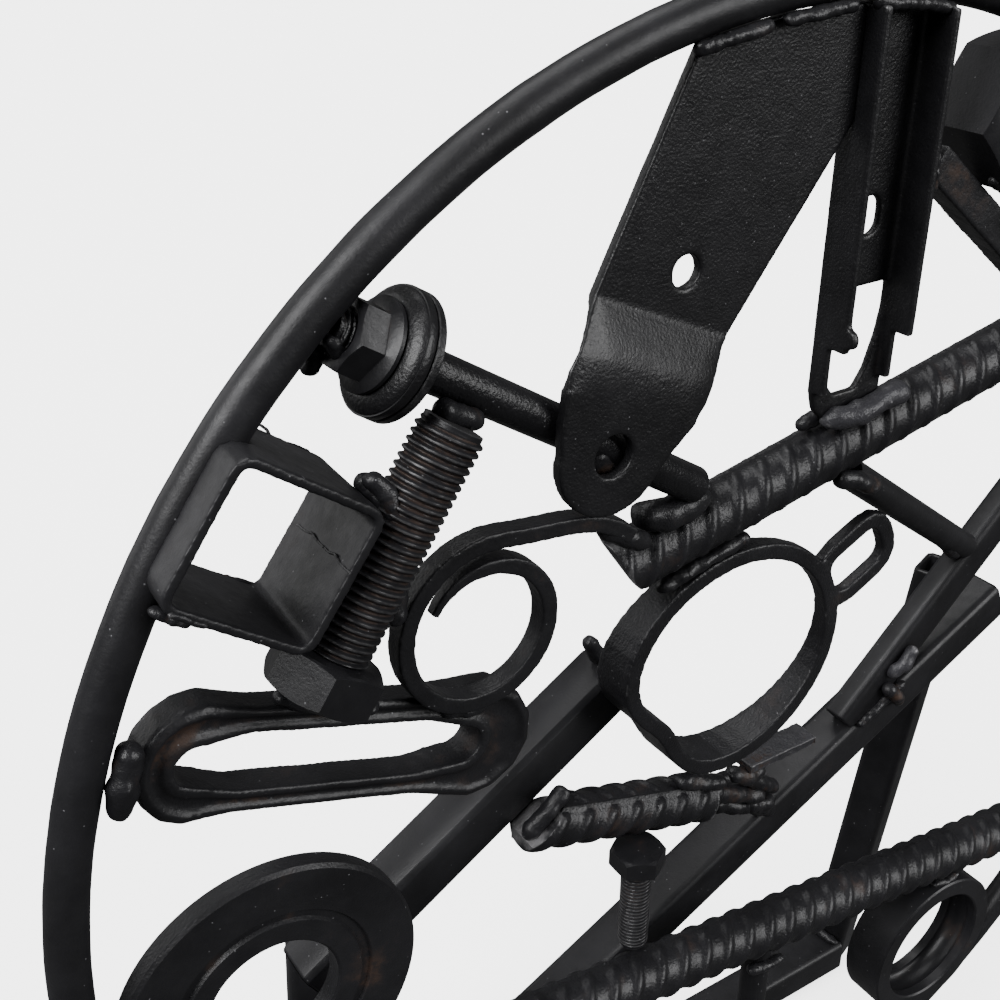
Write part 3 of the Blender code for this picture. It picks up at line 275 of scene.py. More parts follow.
class DiscColours(bpy.types.PropertyGroup):
    """Colours of the finishes and of the floor."""

    black: FloatVectorProperty(
        name="Black steel", description="Patina on the steel", subtype="COLOR",
        size=3, default=(0.0088, 0.0087, 0.0098), min=0, max=1,
    )
    worn: FloatVectorProperty(
        name="Worn steel", description="Steel where the patina is rubbed off", subtype="COLOR",
        size=3, default=(0.085, 0.084, 0.086), min=0, max=1,
    )
    rust: FloatVectorProperty(
        name="Rust", description="Brown bloom in corners and on welds", subtype="COLOR",
        size=3, default=(0.040, 0.022, 0.014), min=0, max=1,
    )
    floor: FloatVectorProperty(
        name="Floor", description="Pale floor under the disc", subtype="COLOR",
        size=3, default=(0.93, 0.93, 0.93), min=0, max=1,
    )


class Tree:
    """Node tree that is built one node at a time."""

    def __init__(self, tree):
        self.tree = tree

    def add(self, kind, inputs=None, **settings):
        node = self.tree.nodes.new(kind)
        for key, value in settings.items():
            setattr(node, key, value)
        for key, value in (inputs or {}).items():
            self.feed(node.inputs[key], value)
        return node

    def feed(self, socket, value):
        if isinstance(value, bpy.types.NodeSocket):
            self.tree.links.new(value, socket)
        else:
            socket.default_value = value

    def math(self, kind, *values):
        node = self.tree.nodes.new("ShaderNodeMath")
        node.operation = kind
        for socket, value in zip(node.inputs, values):
            self.feed(socket, value)
        return node.outputs[0]

    def plus(self, first, second):
        return self.math("ADD", first, second)

    def minus(self, first, second):
        return self.math("SUBTRACT", first, second)

    def times(self, first, second):
        return self.math("MULTIPLY", first, second)

    def ramp(self, value, low, high, out_low=0.0, out_high=1.0):
        """Smooth step of a value between two limits."""
        node = self.add("ShaderNodeMapRange", interpolation_type="SMOOTHSTEP")
        for socket, number in zip(node.inputs[:5], (value, low, high, out_low, out_high)):
            self.feed(socket, number)
        return node.outputs[0]


def new_tree(name, kind, inputs, outputs):
    """Node group with its sockets: each input is a name, a socket type and a default."""
    tree = bpy.data.node_groups.new(name, kind)
    for label, socket_kind, default in inputs:
        socket = tree.interface.new_socket(label, in_out="INPUT", socket_type=socket_kind)
        if default is not None:
            socket.default_value = default
    for label, socket_kind in outputs:
        tree.interface.new_socket(label, in_out="OUTPUT", socket_type=socket_kind)
    t = Tree(tree)
    return t, t.add("NodeGroupInput").outputs, t.add("NodeGroupOutput")


def geometry_tree(name, inputs):
    """Geometry group: its inputs, then a material; its output is a geometry."""
    inputs = (*inputs, ("Material", "NodeSocketMaterial", None))
    return new_tree(name, "GeometryNodeTree", inputs, (("Geometry", "NodeSocketGeometry"),))


def pushed(t, geometry, way, amount):
    """Geometry whose points move along a direction by an amount."""
    move = t.add("ShaderNodeVectorMath", {0: way, "Scale": amount}, operation="SCALE")
    return t.add("GeometryNodeSetPosition", {"Geometry": geometry, "Offset": move.outputs[0]}).outputs[0]


def close_tree(t, start, end, geometry):
    """Ends a geometry tree: what it made becomes real mesh in the tree's material."""
    whole = t.add("GeometryNodeRealizeInstances", {0: geometry})
    done = t.add("GeometryNodeSetMaterial", {"Geometry": whole.outputs[0], "Material": start["Material"]})
    t.feed(end.inputs[0], done.outputs[0])
    return t.tree


# Finishes


FLOAT = "NodeSocketFloat"
SPECULAR = 0.24
COAT_ROUGHNESS = 0.22
SPECK = (0.2, 0.2, 0.21, 1)


def worn_steel_group():
    """Patina that is rubbed off on edges, pitted, blotched and rusty in places."""
    t, start, end = new_tree(
        "Worn black steel",
        "ShaderNodeTree",
        (
            ("Vector", "NodeSocketVector", None), ("Edge", FLOAT, 0.0), ("Black", "NodeSocketColor", None),
            ("Worn", "NodeSocketColor", None), ("Rust colour", "NodeSocketColor", None), ("Wear", FLOAT, 0.5),
            ("Rust", FLOAT, 0.2), ("Pitting", FLOAT, 0.5), ("Gloss", FLOAT, 0.5),
        ),
        (("Color", "NodeSocketColor"), ("Roughness", FLOAT), ("Metallic", FLOAT), ("Height", FLOAT)),
    )

    def noise(scale, detail, rough):
        node = t.add("ShaderNodeTexNoise", {"Vector": start["Vector"], "Scale": scale, "Detail": detail})
        node.inputs["Roughness"].default_value = rough
        return node.outputs[0]

    def spots(scale, reach, channel, chance):
        """Round spots of a reach in cells, in those cells whose random colour passes the chance."""
        cells = t.add("ShaderNodeTexVoronoi", {"Vector": start["Vector"], "Scale": scale})
        near = t.ramp(cells.outputs["Distance"], *reach, 1.0, 0.0)
        drawn = t.add("ShaderNodeSeparateColor", {0: cells.outputs["Color"]}).outputs[channel]
        return t.times(near, t.ramp(drawn, *chance))

    blotch = noise(38.0, 4.0, 0.6)
    middle = noise(240.0, 5.0, 0.65)
    fine = noise(1050.0, 2.0, 0.55)
    pit = spots(420.0, (0.10, 0.36), 1, (0.62, 0.72))
    speck = spots(520.0, (0.06, 0.16), 0, (0.88, 0.91))
    rubbed = t.plus(t.times(start["Edge"], start["Wear"]), t.times(middle, 0.5))
    wear = t.ramp(rubbed, 0.50, 0.86)
    wear = t.times(wear, t.ramp(start["Wear"], 0.0, 0.3))
    hollow = t.times(start["Edge"], -0.35)
    rusty = t.plus(t.plus(blotch, hollow), t.times(start["Rust"], 0.45))
    rust = t.times(t.ramp(rusty, 0.62, 0.82), t.ramp(middle, 0.35, 0.6))
    rust = t.times(rust, t.ramp(start["Rust"], 0.0, 0.25))
    tone = t.ramp(blotch, 0.25, 0.75, 0.72, 1.4)
    black = t.add("ShaderNodeVectorMath", {0: start["Black"], "Scale": tone}, operation="SCALE").outputs[0]

    def mix(low, high, share):
        node = t.add("ShaderNodeMix", data_type="RGBA")
        for key, value in ((0, share), (6, low), (7, high)):
            t.feed(node.inputs[key], value)
        return node.outputs[2]

    colour = mix(black, start["Worn"], wear)
    colour = mix(colour, start["Rust colour"], rust)
    colour = mix(colour, SPECK, t.times(speck, 0.6))
    rough = t.ramp(start["Gloss"], 0.0, 1.0, 0.62, 0.24)
    rough = t.plus(rough, t.times(t.minus(middle, 0.5), 0.30))
    rough = t.plus(rough, t.times(rust, 0.3))
    height = t.times(t.times(pit, start["Pitting"]), -0.35)
    height = t.plus(height, t.times(middle, 0.5))
    height = t.plus(height, t.times(fine, t.times(start["Pitting"], 1.3)))
    t.feed(end.inputs["Metallic"], t.plus(0.08, t.times(wear, 0.7)))
    t.feed(end.inputs["Color"], colour)
    t.feed(end.inputs["Roughness"], t.math("MINIMUM", t.math("MAXIMUM", rough, 0.16), 0.95))
    t.feed(end.inputs["Height"], height)
    return t.tree


def finish(name, wear, rust, pitting, gloss, relief, tint, shine, coat):
    """Finish of one kind of scrap: worn black steel with its own wear, rust, pits and gloss."""
    group = bpy.data.node_groups.get("Worn black steel") or worn_steel_group()
    colours = bpy.context.scene.disc_colours
    material = bpy.data.materials.new(name)
    material.use_nodes = True
    t = Tree(material.node_tree)
    shader = t.tree.nodes["Principled BSDF"]
    where = t.add("ShaderNodeTexCoord").outputs["Object"]
    edge = t.add("ShaderNodeAttribute", attribute_name="edge").outputs["Fac"]
    surface = t.add("ShaderNodeGroup", node_tree=group)
    values = {
        "Vector": where, "Edge": edge, "Black": (*[c * tint for c in colours.black], 1),
        "Worn": (*[c * shine for c in colours.worn], 1), "Rust colour": (*colours.rust, 1),
        "Wear": wear, "Rust": rust, "Pitting": pitting, "Gloss": gloss,
    }
    for key, value in values.items():
        t.feed(surface.inputs[key], value)
    bump = t.add("ShaderNodeBump", {"Strength": 1.0, "Distance": relief, "Height": surface.outputs["Height"]})
    t.feed(shader.inputs["Base Color"], surface.outputs["Color"])
    t.feed(shader.inputs["Roughness"], surface.outputs["Roughness"])
    t.feed(shader.inputs["Normal"], bump.outputs[0])
    t.feed(shader.inputs["Metallic"], surface.outputs["Metallic"])
    shader.inputs["Specular IOR Level"].default_value = SPECULAR
    shader.inputs["Coat Weight"].default_value = coat
    shader.inputs["Coat Roughness"].default_value = COAT_ROUGHNESS
    return material


# Relief is in metres, tint and shine scale the black and the worn colour, and the rest are shares
PARTS = ("wear", "rust", "pitting", "gloss", "relief", "tint", "shine", "coat")
FINISHES = {
    "bar": (0.25, 0.05, 0.30, 0.48, 0.00018, 1.0, 1.0, 0.0),
    "rebar": (0.95, 0.12, 0.50, 0.62, 0.00030, 1.0, 1.9, 0.0),
    "stud": (0.20, 0.06, 0.60, 0.66, 0.00034, 0.7, 0.7, 0.0),
    "thread": (0.40, 0.12, 0.30, 0.60, 0.00014, 1.0, 1.2, 0.0),
    "plate": (0.45, 0.04, 0.80, 0.55, 0.00022, 0.7, 1.6, 0.1),
    "forged": (0.40, 0.16, 0.45, 0.54, 0.00026, 1.0, 1.4, 0.0),
    "cast": (0.50, 0.08, 0.80, 0.64, 0.00026, 1.0, 1.6, 0.0),
    "tube": (0.12, 0.06, 0.30, 0.50, 0.00014, 1.0, 1.0, 0.0),
    "weld": (0.40, 0.30, 0.50, 0.62, 0.00030, 1.1, 1.0, 0.0),
    "bright_weld": (0.95, 0.05, 0.60, 0.66, 0.00036, 2.8, 2.2, 0.0),
    "shim": (0.60, 0.35, 0.90, 0.35, 0.00036, 3.0, 1.3, 0.0),
}


def finish_of(kind):
    name = "steel_" + kind
    return bpy.data.materials.get(name) or finish(name, **dict(zip(PARTS, FINISHES[kind])))


# Meshes


EDGE_RADIUS = 0.0011
DENT_MIDDLE = 0.62
FINE_DENTS = 0.22


def rows(items, key, width, kind=float):
    """Values of a mesh's points or edges, a row for each."""
    values = np.empty(len(items) * width, kind)
    items.foreach_get(key, values)
    return values.reshape(-1, width)


def ends_of(mesh):
    """First and second point of every edge, and how many edges meet at each point, at least one."""
    count = len(mesh.vertices)
    a, b = rows(mesh.edges, "vertices", 2, np.int32).T
    return a, b, np.maximum(np.bincount(a, minlength=count) + np.bincount(b, minlength=count), 1)


def mean_of_neighbours(value, a, b, links):
    return (np.bincount(a, value[b], len(value)) + np.bincount(b, value[a], len(value))) / links


def mark_edges(mesh):
    """Writes how sharply the surface bends out at each point, for the wear on its edges."""
    count = len(mesh.vertices)
    place = rows(mesh.vertices, "co", 3)
    normal = rows(mesh.vertices, "normal", 3)
    a, b, links = ends_of(mesh)
    step = place[b] - place[a]
    bend = ((normal[b] - normal[a]) * step).sum(1) / np.maximum((step * step).sum(1), 1e-12)
    value = (np.bincount(a, bend, count) + np.bincount(b, bend, count)) / links
    value = np.clip(value * EDGE_RADIUS, -1, 1)
    for _ in range(2):
        value = 0.5 * value + 0.5 * mean_of_neighbours(value, a, b, links)
    mesh.attributes.new("edge", "FLOAT", "POINT").data.foreach_set("value", value.astype(np.float32))


def piece(name, mesh, kind, *nodes, sharp=40):
    """Finished piece: smooth but for its sharp edges, riding on the work and standing for its nodes."""
    mesh.name = name
    mesh.materials.clear()
    mesh.materials.append(finish_of(kind))
    mesh.shade_smooth()
    if sharp:
        mesh.set_sharp_from_angle(angle=math.radians(sharp))
    mark_edges(mesh)
    obj = bpy.data.objects.new(name, mesh)
    bpy.context.scene.collection.objects.link(obj)
    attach(obj, BODY)
    if nodes:
        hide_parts(*nodes)


def applied(mesh, *modifiers):
    """Mesh with these modifiers applied. Each is a kind and its settings."""
    obj = bpy.data.objects.new("making", mesh)
    bpy.context.scene.collection.objects.link(obj)
    for kind, settings in modifiers:
        modifier = obj.modifiers.new(kind, kind)
        for key, value in settings.items():
            if kind == "NODES" and key != "node_group":
                modifier[socket_of(modifier.node_group, key)] = value
            else:
                setattr(modifier, key, value)
    graph = bpy.context.evaluated_depsgraph_get()
    result = bpy.data.meshes.new_from_object(obj.evaluated_get(graph), depsgraph=graph)
    bpy.data.objects.remove(obj)
    return result


def socket_of(tree, label):
    for item in tree.interface.items_tree:
        if item.in_out == "INPUT" and item.name == label:
            return item.identifier
    raise RuntimeError("no input named " + label)


def merged_copy(node):
    """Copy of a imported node's mesh, its loose triangles merged."""
    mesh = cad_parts[node].data.copy()
    bm = bmesh.new()
    bm.from_mesh(mesh)
    bmesh.ops.remove_doubles(bm, verts=bm.verts, dist=1e-6)
    bm.to_mesh(mesh)
    bm.free()
    for attribute in list(mesh.attributes):
        if not attribute.is_required and not attribute.is_internal:
            mesh.attributes.remove(attribute)
    return mesh


def clouds(size):
    """Smooth random pattern for dents, with bumps of about this size."""
    name = "clouds %.4f" % size
    texture = bpy.data.textures.get(name)
    if texture is None:
        texture = bpy.data.textures.new(name, "CLOUDS")
        texture.noise_scale = size
        texture.noise_depth = 2
    return texture


def dents(size, depth):
    """Displacement that mostly goes inwards, so that the piece keeps inside its solid."""
    look = {"texture": clouds(size), "strength": depth, "mid_level": DENT_MIDDLE, "texture_coords": "LOCAL"}
    return "DISPLACE", look


def ease_bend(mesh, point, way, reach, rounds):
    """Rounds a bend of sheet by easing its depth near a line that runs square to a direction."""
    place = rows(mesh.vertices, "co", 3)
    a, b, links = ends_of(mesh)
    away = np.abs((place - np.array(point)) @ np.array(way))
    share = np.clip(1.3 - away / reach, 0, 1)
    depth = place[:, 1].copy()
    for _ in range(rounds):
        depth += share * (mean_of_neighbours(depth, a, b, links) - depth)
    place[:, 1] = depth
    mesh.vertices.foreach_set("co", place.ravel())
    mesh.update()


def worked(name, node, kind, voxel, smooth=4, size=0.012, depth=1.0, fine=0.3, bend=None):
    """Forged, cast or pressed piece: its solid with edges softened, dented and rough."""
    amount = bpy.context.scene.disc_sizes.dent_depth * depth
    mesh = applied(
        merged_copy(node),
        ("REMESH", {"mode": "VOXEL", "voxel_size": voxel, "use_smooth_shade": True}),
        ("SMOOTH", {"factor": 0.5, "iterations": smooth}),
    )
    if bend:
        ease_bend(mesh, *bend)
    mesh = applied(mesh, dents(size, amount), dents(size * FINE_DENTS, amount * fine))
    piece(name, mesh, kind, node, sharp=0)


def square(name, node):
    """Square tube with crisp edges, rounded a little."""
    width = bpy.context.scene.disc_sizes.edge_round
    settings = {"width": width, "segments": 3, "limit_method": "ANGLE", "angle_limit": math.radians(28)}
    mesh = applied(merged_copy(node), ("BEVEL", settings))
    piece(name, mesh, "tube", node, sharp=50)


def measured(node):
    """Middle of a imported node, half its depth and half its width."""
    low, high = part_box(node)
    return (low + high) / 2, (high.y - low.y) / 2, (high.x - low.x) / 2


def lofted(rings, closed=False):
    """Mesh over rings of points that have as many points each, its ends capped unless it closes on itself."""
    rings = np.asarray(rings, float)
    rows, count = rings.shape[:2]
    here = np.arange(rows * count).reshape(rows, count)
    above = np.roll(here, -1, 0) if closed else here[1:]
    low = here if closed else here[:-1]
    quads = np.stack((low, np.roll(low, -1, 1), np.roll(above, -1, 1), above), -1).reshape(-1, 4)
    faces = [tuple(quad) for quad in quads.tolist()]
    if not closed:
        faces += [tuple(here[0][::-1].tolist()), tuple(here[-1].tolist())]
    bm = bmesh.new()
    verts = [bm.verts.new(point) for point in rings.reshape(-1, 3).tolist()]
    for face in faces:
        bm.faces.new([verts[i] for i in face])
    bmesh.ops.recalc_face_normals(bm, faces=bm.faces)
    mesh = bpy.data.meshes.new("lofted")
    bm.to_mesh(mesh)
    bm.free()
    return mesh


def turned(profile, sides=96):
    """Rings of a profile of (radius, height) turned round +Z. Either may be a function of the angle."""
    angles = np.arange(sides) * 2 * PI / sides
    rings = []
    for radius, height in profile:
        reach = radius(angles) if callable(radius) else np.full(sides, radius)
        level = height(angles) if callable(height) else np.full(sides, height)
        rings += [np.stack((reach * np.cos(angles), reach * np.sin(angles), level), -1)]
    return rings


def placed(mesh, at, turn):
    mesh.transform(Matrix.Translation(at) @ turn)
    return mesh


def joined(*meshes):
    bm = bmesh.new()
    for mesh in meshes:
        bm.from_mesh(mesh)
    result = bpy.data.meshes.new("joined")
    bm.to_mesh(result)
    bm.free()
    return result


def trimmed(mesh, point, outwards):
    """Cuts off what lies on the outward side of a plane and closes the cut."""
    bm = bmesh.new()
    bm.from_mesh(mesh)
    parts = list(bm.verts) + list(bm.edges) + list(bm.faces)
    cut = bmesh.ops.bisect_plane(bm, geom=parts, plane_co=point, plane_no=outwards, clear_outer=True)
    edges = [part for part in cut["geom_cut"] if isinstance(part, bmesh.types.BMEdge)]
    bmesh.ops.edgeloop_fill(bm, edges=edges)
    bm.to_mesh(mesh)
    bm.free()
    return mesh


def hexagon(flats):
    """Distance from the middle to the side of a hexagon, as a function of the angle."""

    def reach(angles):
        inside = np.mod(angles + PI / 6, PI / 3) - PI / 6
        return flats / 2 / np.cos(inside)

    return reach


def chamfer(flats, level, slope):
    """Height of a nut's face where its corners are turned down to a cone."""
    reach = hexagon(flats)

    def height(angles):
        return level - slope * np.maximum(reach(angles) - flats * 0.5 * 0.98, 0)

    return height


# Bars with threads or ribs, and weld beads


# Fineness of a weld's mesh in metres: for each millimetre of the bead's radius, and the least
WELD_VOXEL = 0.00026
WELD_VOXEL_LEAST = 0.00044


def ridged_bar_tree():
    """Round bar up +Z with a thread, or with slanted ribs that fade at two seams."""
    t, start, end = geometry_tree(
        "Ridged bar",
        (
            ("Length", FLOAT, 0.1), ("Radius", FLOAT, 0.01), ("Spacing", FLOAT, 0.01),
            ("Height", FLOAT, 0.001), ("Width", FLOAT, 0.5), ("Lead", FLOAT, 0.0), ("Slant", FLOAT, 0.0),
            ("Seam", FLOAT, 0.0), ("From", FLOAT, 0.0), ("To", FLOAT, 1.0), ("Rings", "NodeSocketInt", 100),
            ("Sides", "NodeSocketInt", 48),
        ),
    )
    top = t.add("ShaderNodeCombineXYZ", {"Z": start["Length"]})
    line = t.add("GeometryNodeCurvePrimitiveLine", {"End": top.outputs[0]})
    points = t.add("GeometryNodeResampleCurve", {"Curve": line.outputs[0], "Count": start["Rings"]})
    section = t.add(
        "GeometryNodeCurvePrimitiveCircle", {"Resolution": start["Sides"], "Radius": start["Radius"]},
    )
    body = t.add(
        "GeometryNodeCurveToMesh",
        {"Curve": points.outputs[0], "Profile Curve": section.outputs[0], "Fill Caps": True},
    )
    where = t.add("ShaderNodeSeparateXYZ", {0: t.add("GeometryNodeInputPosition").outputs[0]}).outputs
    angle = t.math("ARCTAN2", where[1], where[0])
    turns = t.times(angle, start["Lead"])
    slant = t.times(t.math("ABSOLUTE", angle), start["Slant"])
    phase = t.math("DIVIDE", where[2], start["Spacing"])
    phase = t.math("FRACT", t.plus(phase, t.plus(t.math("DIVIDE", turns, 2 * PI), slant)))
    away = t.times(t.math("ABSOLUTE", t.minus(phase, 0.5)), 2.0)
    ridge = t.ramp(away, t.times(start["Width"], 0.16), start["Width"], 1.0, 0.0)
    from_seam = t.math("ABSOLUTE", t.math("SINE", angle))
    fade = t.ramp(from_seam, 0.10, 0.45)
    seam_share = t.minus(1.0, t.times(start["Seam"], t.minus(1.0, fade)))
    seam = t.times(t.ramp(from_seam, 0.0, 0.16, 0.8, 0.0), start["Seam"])
    after = t.ramp(t.minus(where[2], start["From"]), 0.0, 0.0015)
    before = t.ramp(t.minus(start["To"], where[2]), 0.0, 0.0015)
    ridge = t.times(t.times(ridge, seam_share), t.times(after, before))
    rise = t.times(t.math("MAXIMUM", ridge, seam), start["Height"])
    flat = t.add("ShaderNodeCombineXYZ", {"X": where[0], "Y": where[1]})
    out = t.add("ShaderNodeVectorMath", {0: flat.outputs[0]}, operation="NORMALIZE")
    return close_tree(t, start, end, pushed(t, body.outputs[0], out.outputs[0], rise))


def ridged_bar(kind, **values):
    """Mesh of a bar up +Z from the tree of ridged bars."""
    tree = bpy.data.node_groups.get("Ridged bar") or ridged_bar_tree()
    empty = bpy.data.meshes.new("seed")
    return applied(empty, ("NODES", {"node_group": tree, **values, "Material": finish_of(kind)}))


def ring_bar_tree():
    """Round bar bent to a ring in the plane of the disc."""
    t, start, end = geometry_tree(
        "Bent ring",
        (
            ("Radius", FLOAT, 0.2), ("Bar", FLOAT, 0.01), ("Dents", FLOAT, 0.0),
            ("Sides", "NodeSocketInt", 40), ("Rings", "NodeSocketInt", 720),
        ),
    )
    size = {"Resolution": start["Rings"], "Radius": start["Radius"]}
    path = t.add("GeometryNodeCurvePrimitiveCircle", size)
    upright = t.add("GeometryNodeTransform", {"Geometry": path.outputs[0], "Rotation": (PI / 2, 0, 0)})
    half = t.times(start["Bar"], 0.5)
    section = t.add("GeometryNodeCurvePrimitiveCircle", {"Resolution": start["Sides"], "Radius": half})
    bar = {"Curve": upright.outputs[0], "Profile Curve": section.outputs[0]}
    body = t.add("GeometryNodeCurveToMesh", bar)
    noise = t.add("ShaderNodeTexNoise", {"Scale": 60.0, "Detail": 3.0})
    depth = t.times(t.minus(noise.outputs[0], 0.62), start["Dents"])
    normal = t.add("GeometryNodeInputNormal").outputs[0]
    return close_tree(t, start, end, pushed(t, body.outputs[0], normal, depth))


def weld_tree():
    """String of overlapping drops along a path, each a little different."""
    t, start, end = geometry_tree(
        "Weld bead",
        (
            ("Geometry", "NodeSocketGeometry", None), ("Radius", FLOAT, 0.003), ("Step", FLOAT, 0.4),
            ("Seed", "NodeSocketInt", 0),
        ),
    )
    step = t.times(start["Radius"], start["Step"])
    path = t.add("GeometryNodeMeshToCurve", {"Mesh": start["Geometry"]})
    points = t.add("GeometryNodeResampleCurve", {"Curve": path.outputs[0], "Length": step}, mode="LENGTH")
    drop = t.add("GeometryNodeMeshIcoSphere", {"Radius": start["Radius"], "Subdivisions": 3})

    def drawn(low, high):
        limits = {"Seed": start["Seed"], "Min": low, "Max": high}
        return t.add("FunctionNodeRandomValue", limits, data_type="FLOAT_VECTOR").outputs[0]

    size = drawn((0.8, 0.8, 0.75), (1.2, 1.2, 1.1))
    turn = drawn((-0.5, -0.5, -0.5), (0.5, 0.5, 0.5))
    drops = t.add("GeometryNodeInstanceOnPoints", {"Points": points.outputs[0], "Instance": drop.outputs[0]})
    t.feed(drops.inputs["Scale"], size)
    t.feed(drops.inputs["Rotation"], turn)
    whole = t.add("GeometryNodeRealizeInstances", {0: drops.outputs[0]})
    place = t.add("GeometryNodeInputPosition")
    noise = t.add("ShaderNodeTexNoise", {"Vector": place.outputs[0], "Scale": 330.0, "Detail": 2.0})
    swing = t.times(start["Radius"], 0.5)
    depth = t.times(t.minus(noise.outputs[0], 0.5), swing)
    normal = t.add("GeometryNodeInputNormal").outputs[0]
    return close_tree(t, start, end, pushed(t, whole.outputs[0], normal, depth))


def weld_bead(radius, points, seed):
    """Mesh of a weld run, whose drops are melted into one."""
    tree = bpy.data.node_groups.get("Weld bead") or weld_tree()
    path = bpy.data.meshes.new("path")
    path.from_pydata([disc(*point) for point in points], [(i, i + 1) for i in range(len(points) - 1)], [])
    values = {"Radius": radius / 1000, "Seed": seed, "Material": finish_of("weld")}
    return applied(
        path,
        ("NODES", {"node_group": tree, **values}),
        ("REMESH", {"mode": "VOXEL", "voxel_size": max(radius * WELD_VOXEL, WELD_VOXEL_LEAST)}),
        ("SMOOTH", {"factor": 0.5, "iterations": 6}),
    )


# Operators


class DISC_OT_hoop(bpy.types.Operator):
    """Hoop of round bar round the disc."""

    bl_idname = "disc.hoop"
    bl_label = "Hoop"

    def execute(self, context):
        tree = ring_bar_tree()
        values = {"Radius": HOOP_RADIUS, "Bar": HOOP_BAR, "Dents": 0.0006, "Material": finish_of("bar")}
        mesh = applied(bpy.data.meshes.new("seed"), ("NODES", {"node_group": tree, **values}))
        piece("hoop_bar", placed(mesh, HUB, Matrix()), "bar", "hoop", sharp=0)
        return {"FINISHED"}


class DISC_OT_rebars(bpy.types.Operator):
    """Ribbed bars: the main one, the lower one and the short one under the collar."""

    bl_idname = "disc.rebars"
    bl_label = "Ribbed bars"

    def execute(self, context):
        height = context.scene.disc_sizes.rib_height
        ribs = {"Spacing": RIB_SPACING, "Height": height, "Width": 0.55, "Slant": -0.40, "Seam": 1.0}
        self.main_bar(ribs)
        self.lower_bar(ribs)
        mesh = self.bar(SHORT_START, SHORT_WAY, SHORT_LENGTH, SHORT_CORE, SHORT_RINGS, ribs)
        mesh = trimmed(mesh, BRACE_PLACE - BRACE_ACROSS * (TUBE / 2), BRACE_ACROSS)
        piece("short_ribbed_bar", mesh, "rebar", "short_rebar")
        return {"FINISHED"}

    def main_bar(self, ribs):
        """From its torch-cut left end to the inside of the hoop."""
        flat = REBAR_START - HUB
        flat.y = 0
        ahead = flat.dot(REBAR_WAY)
        aside = (flat - REBAR_WAY * ahead).length + REBAR_CORE / 2
        length = math.sqrt(HOOP_INSIDE**2 - aside**2) - ahead
        mesh = self.bar(REBAR_START, REBAR_WAY, length, REBAR_CORE, int(length / RING_GAP), ribs)
        slope = (Y * 0.35 - REBAR_WAY - Z * 0.6).normalized()
        mesh = trimmed(mesh, REBAR_START + REBAR_WAY * TORCH_CUT, slope)
        piece("main_ribbed_bar", mesh, "rebar", "main_rebar")

    def lower_bar(self, ribs):
        """Across the hoop, as long as its whole thickness allows."""
        way = (LOWER_RIGHT - LOWER_LEFT).normalized()
        middle = LOWER_LEFT - way * LOWER_LEFT.dot(way)
        reach = REBAR_CORE / 2 + LOWER_RIB_ROOM
        half = math.sqrt(HOOP_INSIDE**2 - (middle.length + reach) ** 2)
        start = HUB + middle - way * half
        mesh = self.bar(start, way, 2 * half, REBAR_CORE, int(2 * half / LOWER_RING_GAP), ribs)
        piece("lower_ribbed_bar", mesh, "rebar", "lower_rebar")

    def bar(self, start, way, length, core, rings, ribs):
        radius = core / 2 - CORE_INSET
        mesh = ridged_bar("rebar", Length=length, Radius=radius, Rings=rings, To=length, **ribs)
        return placed(mesh, start, along(way) @ Matrix.Rotation(BAR_TURN, 4, "Z"))


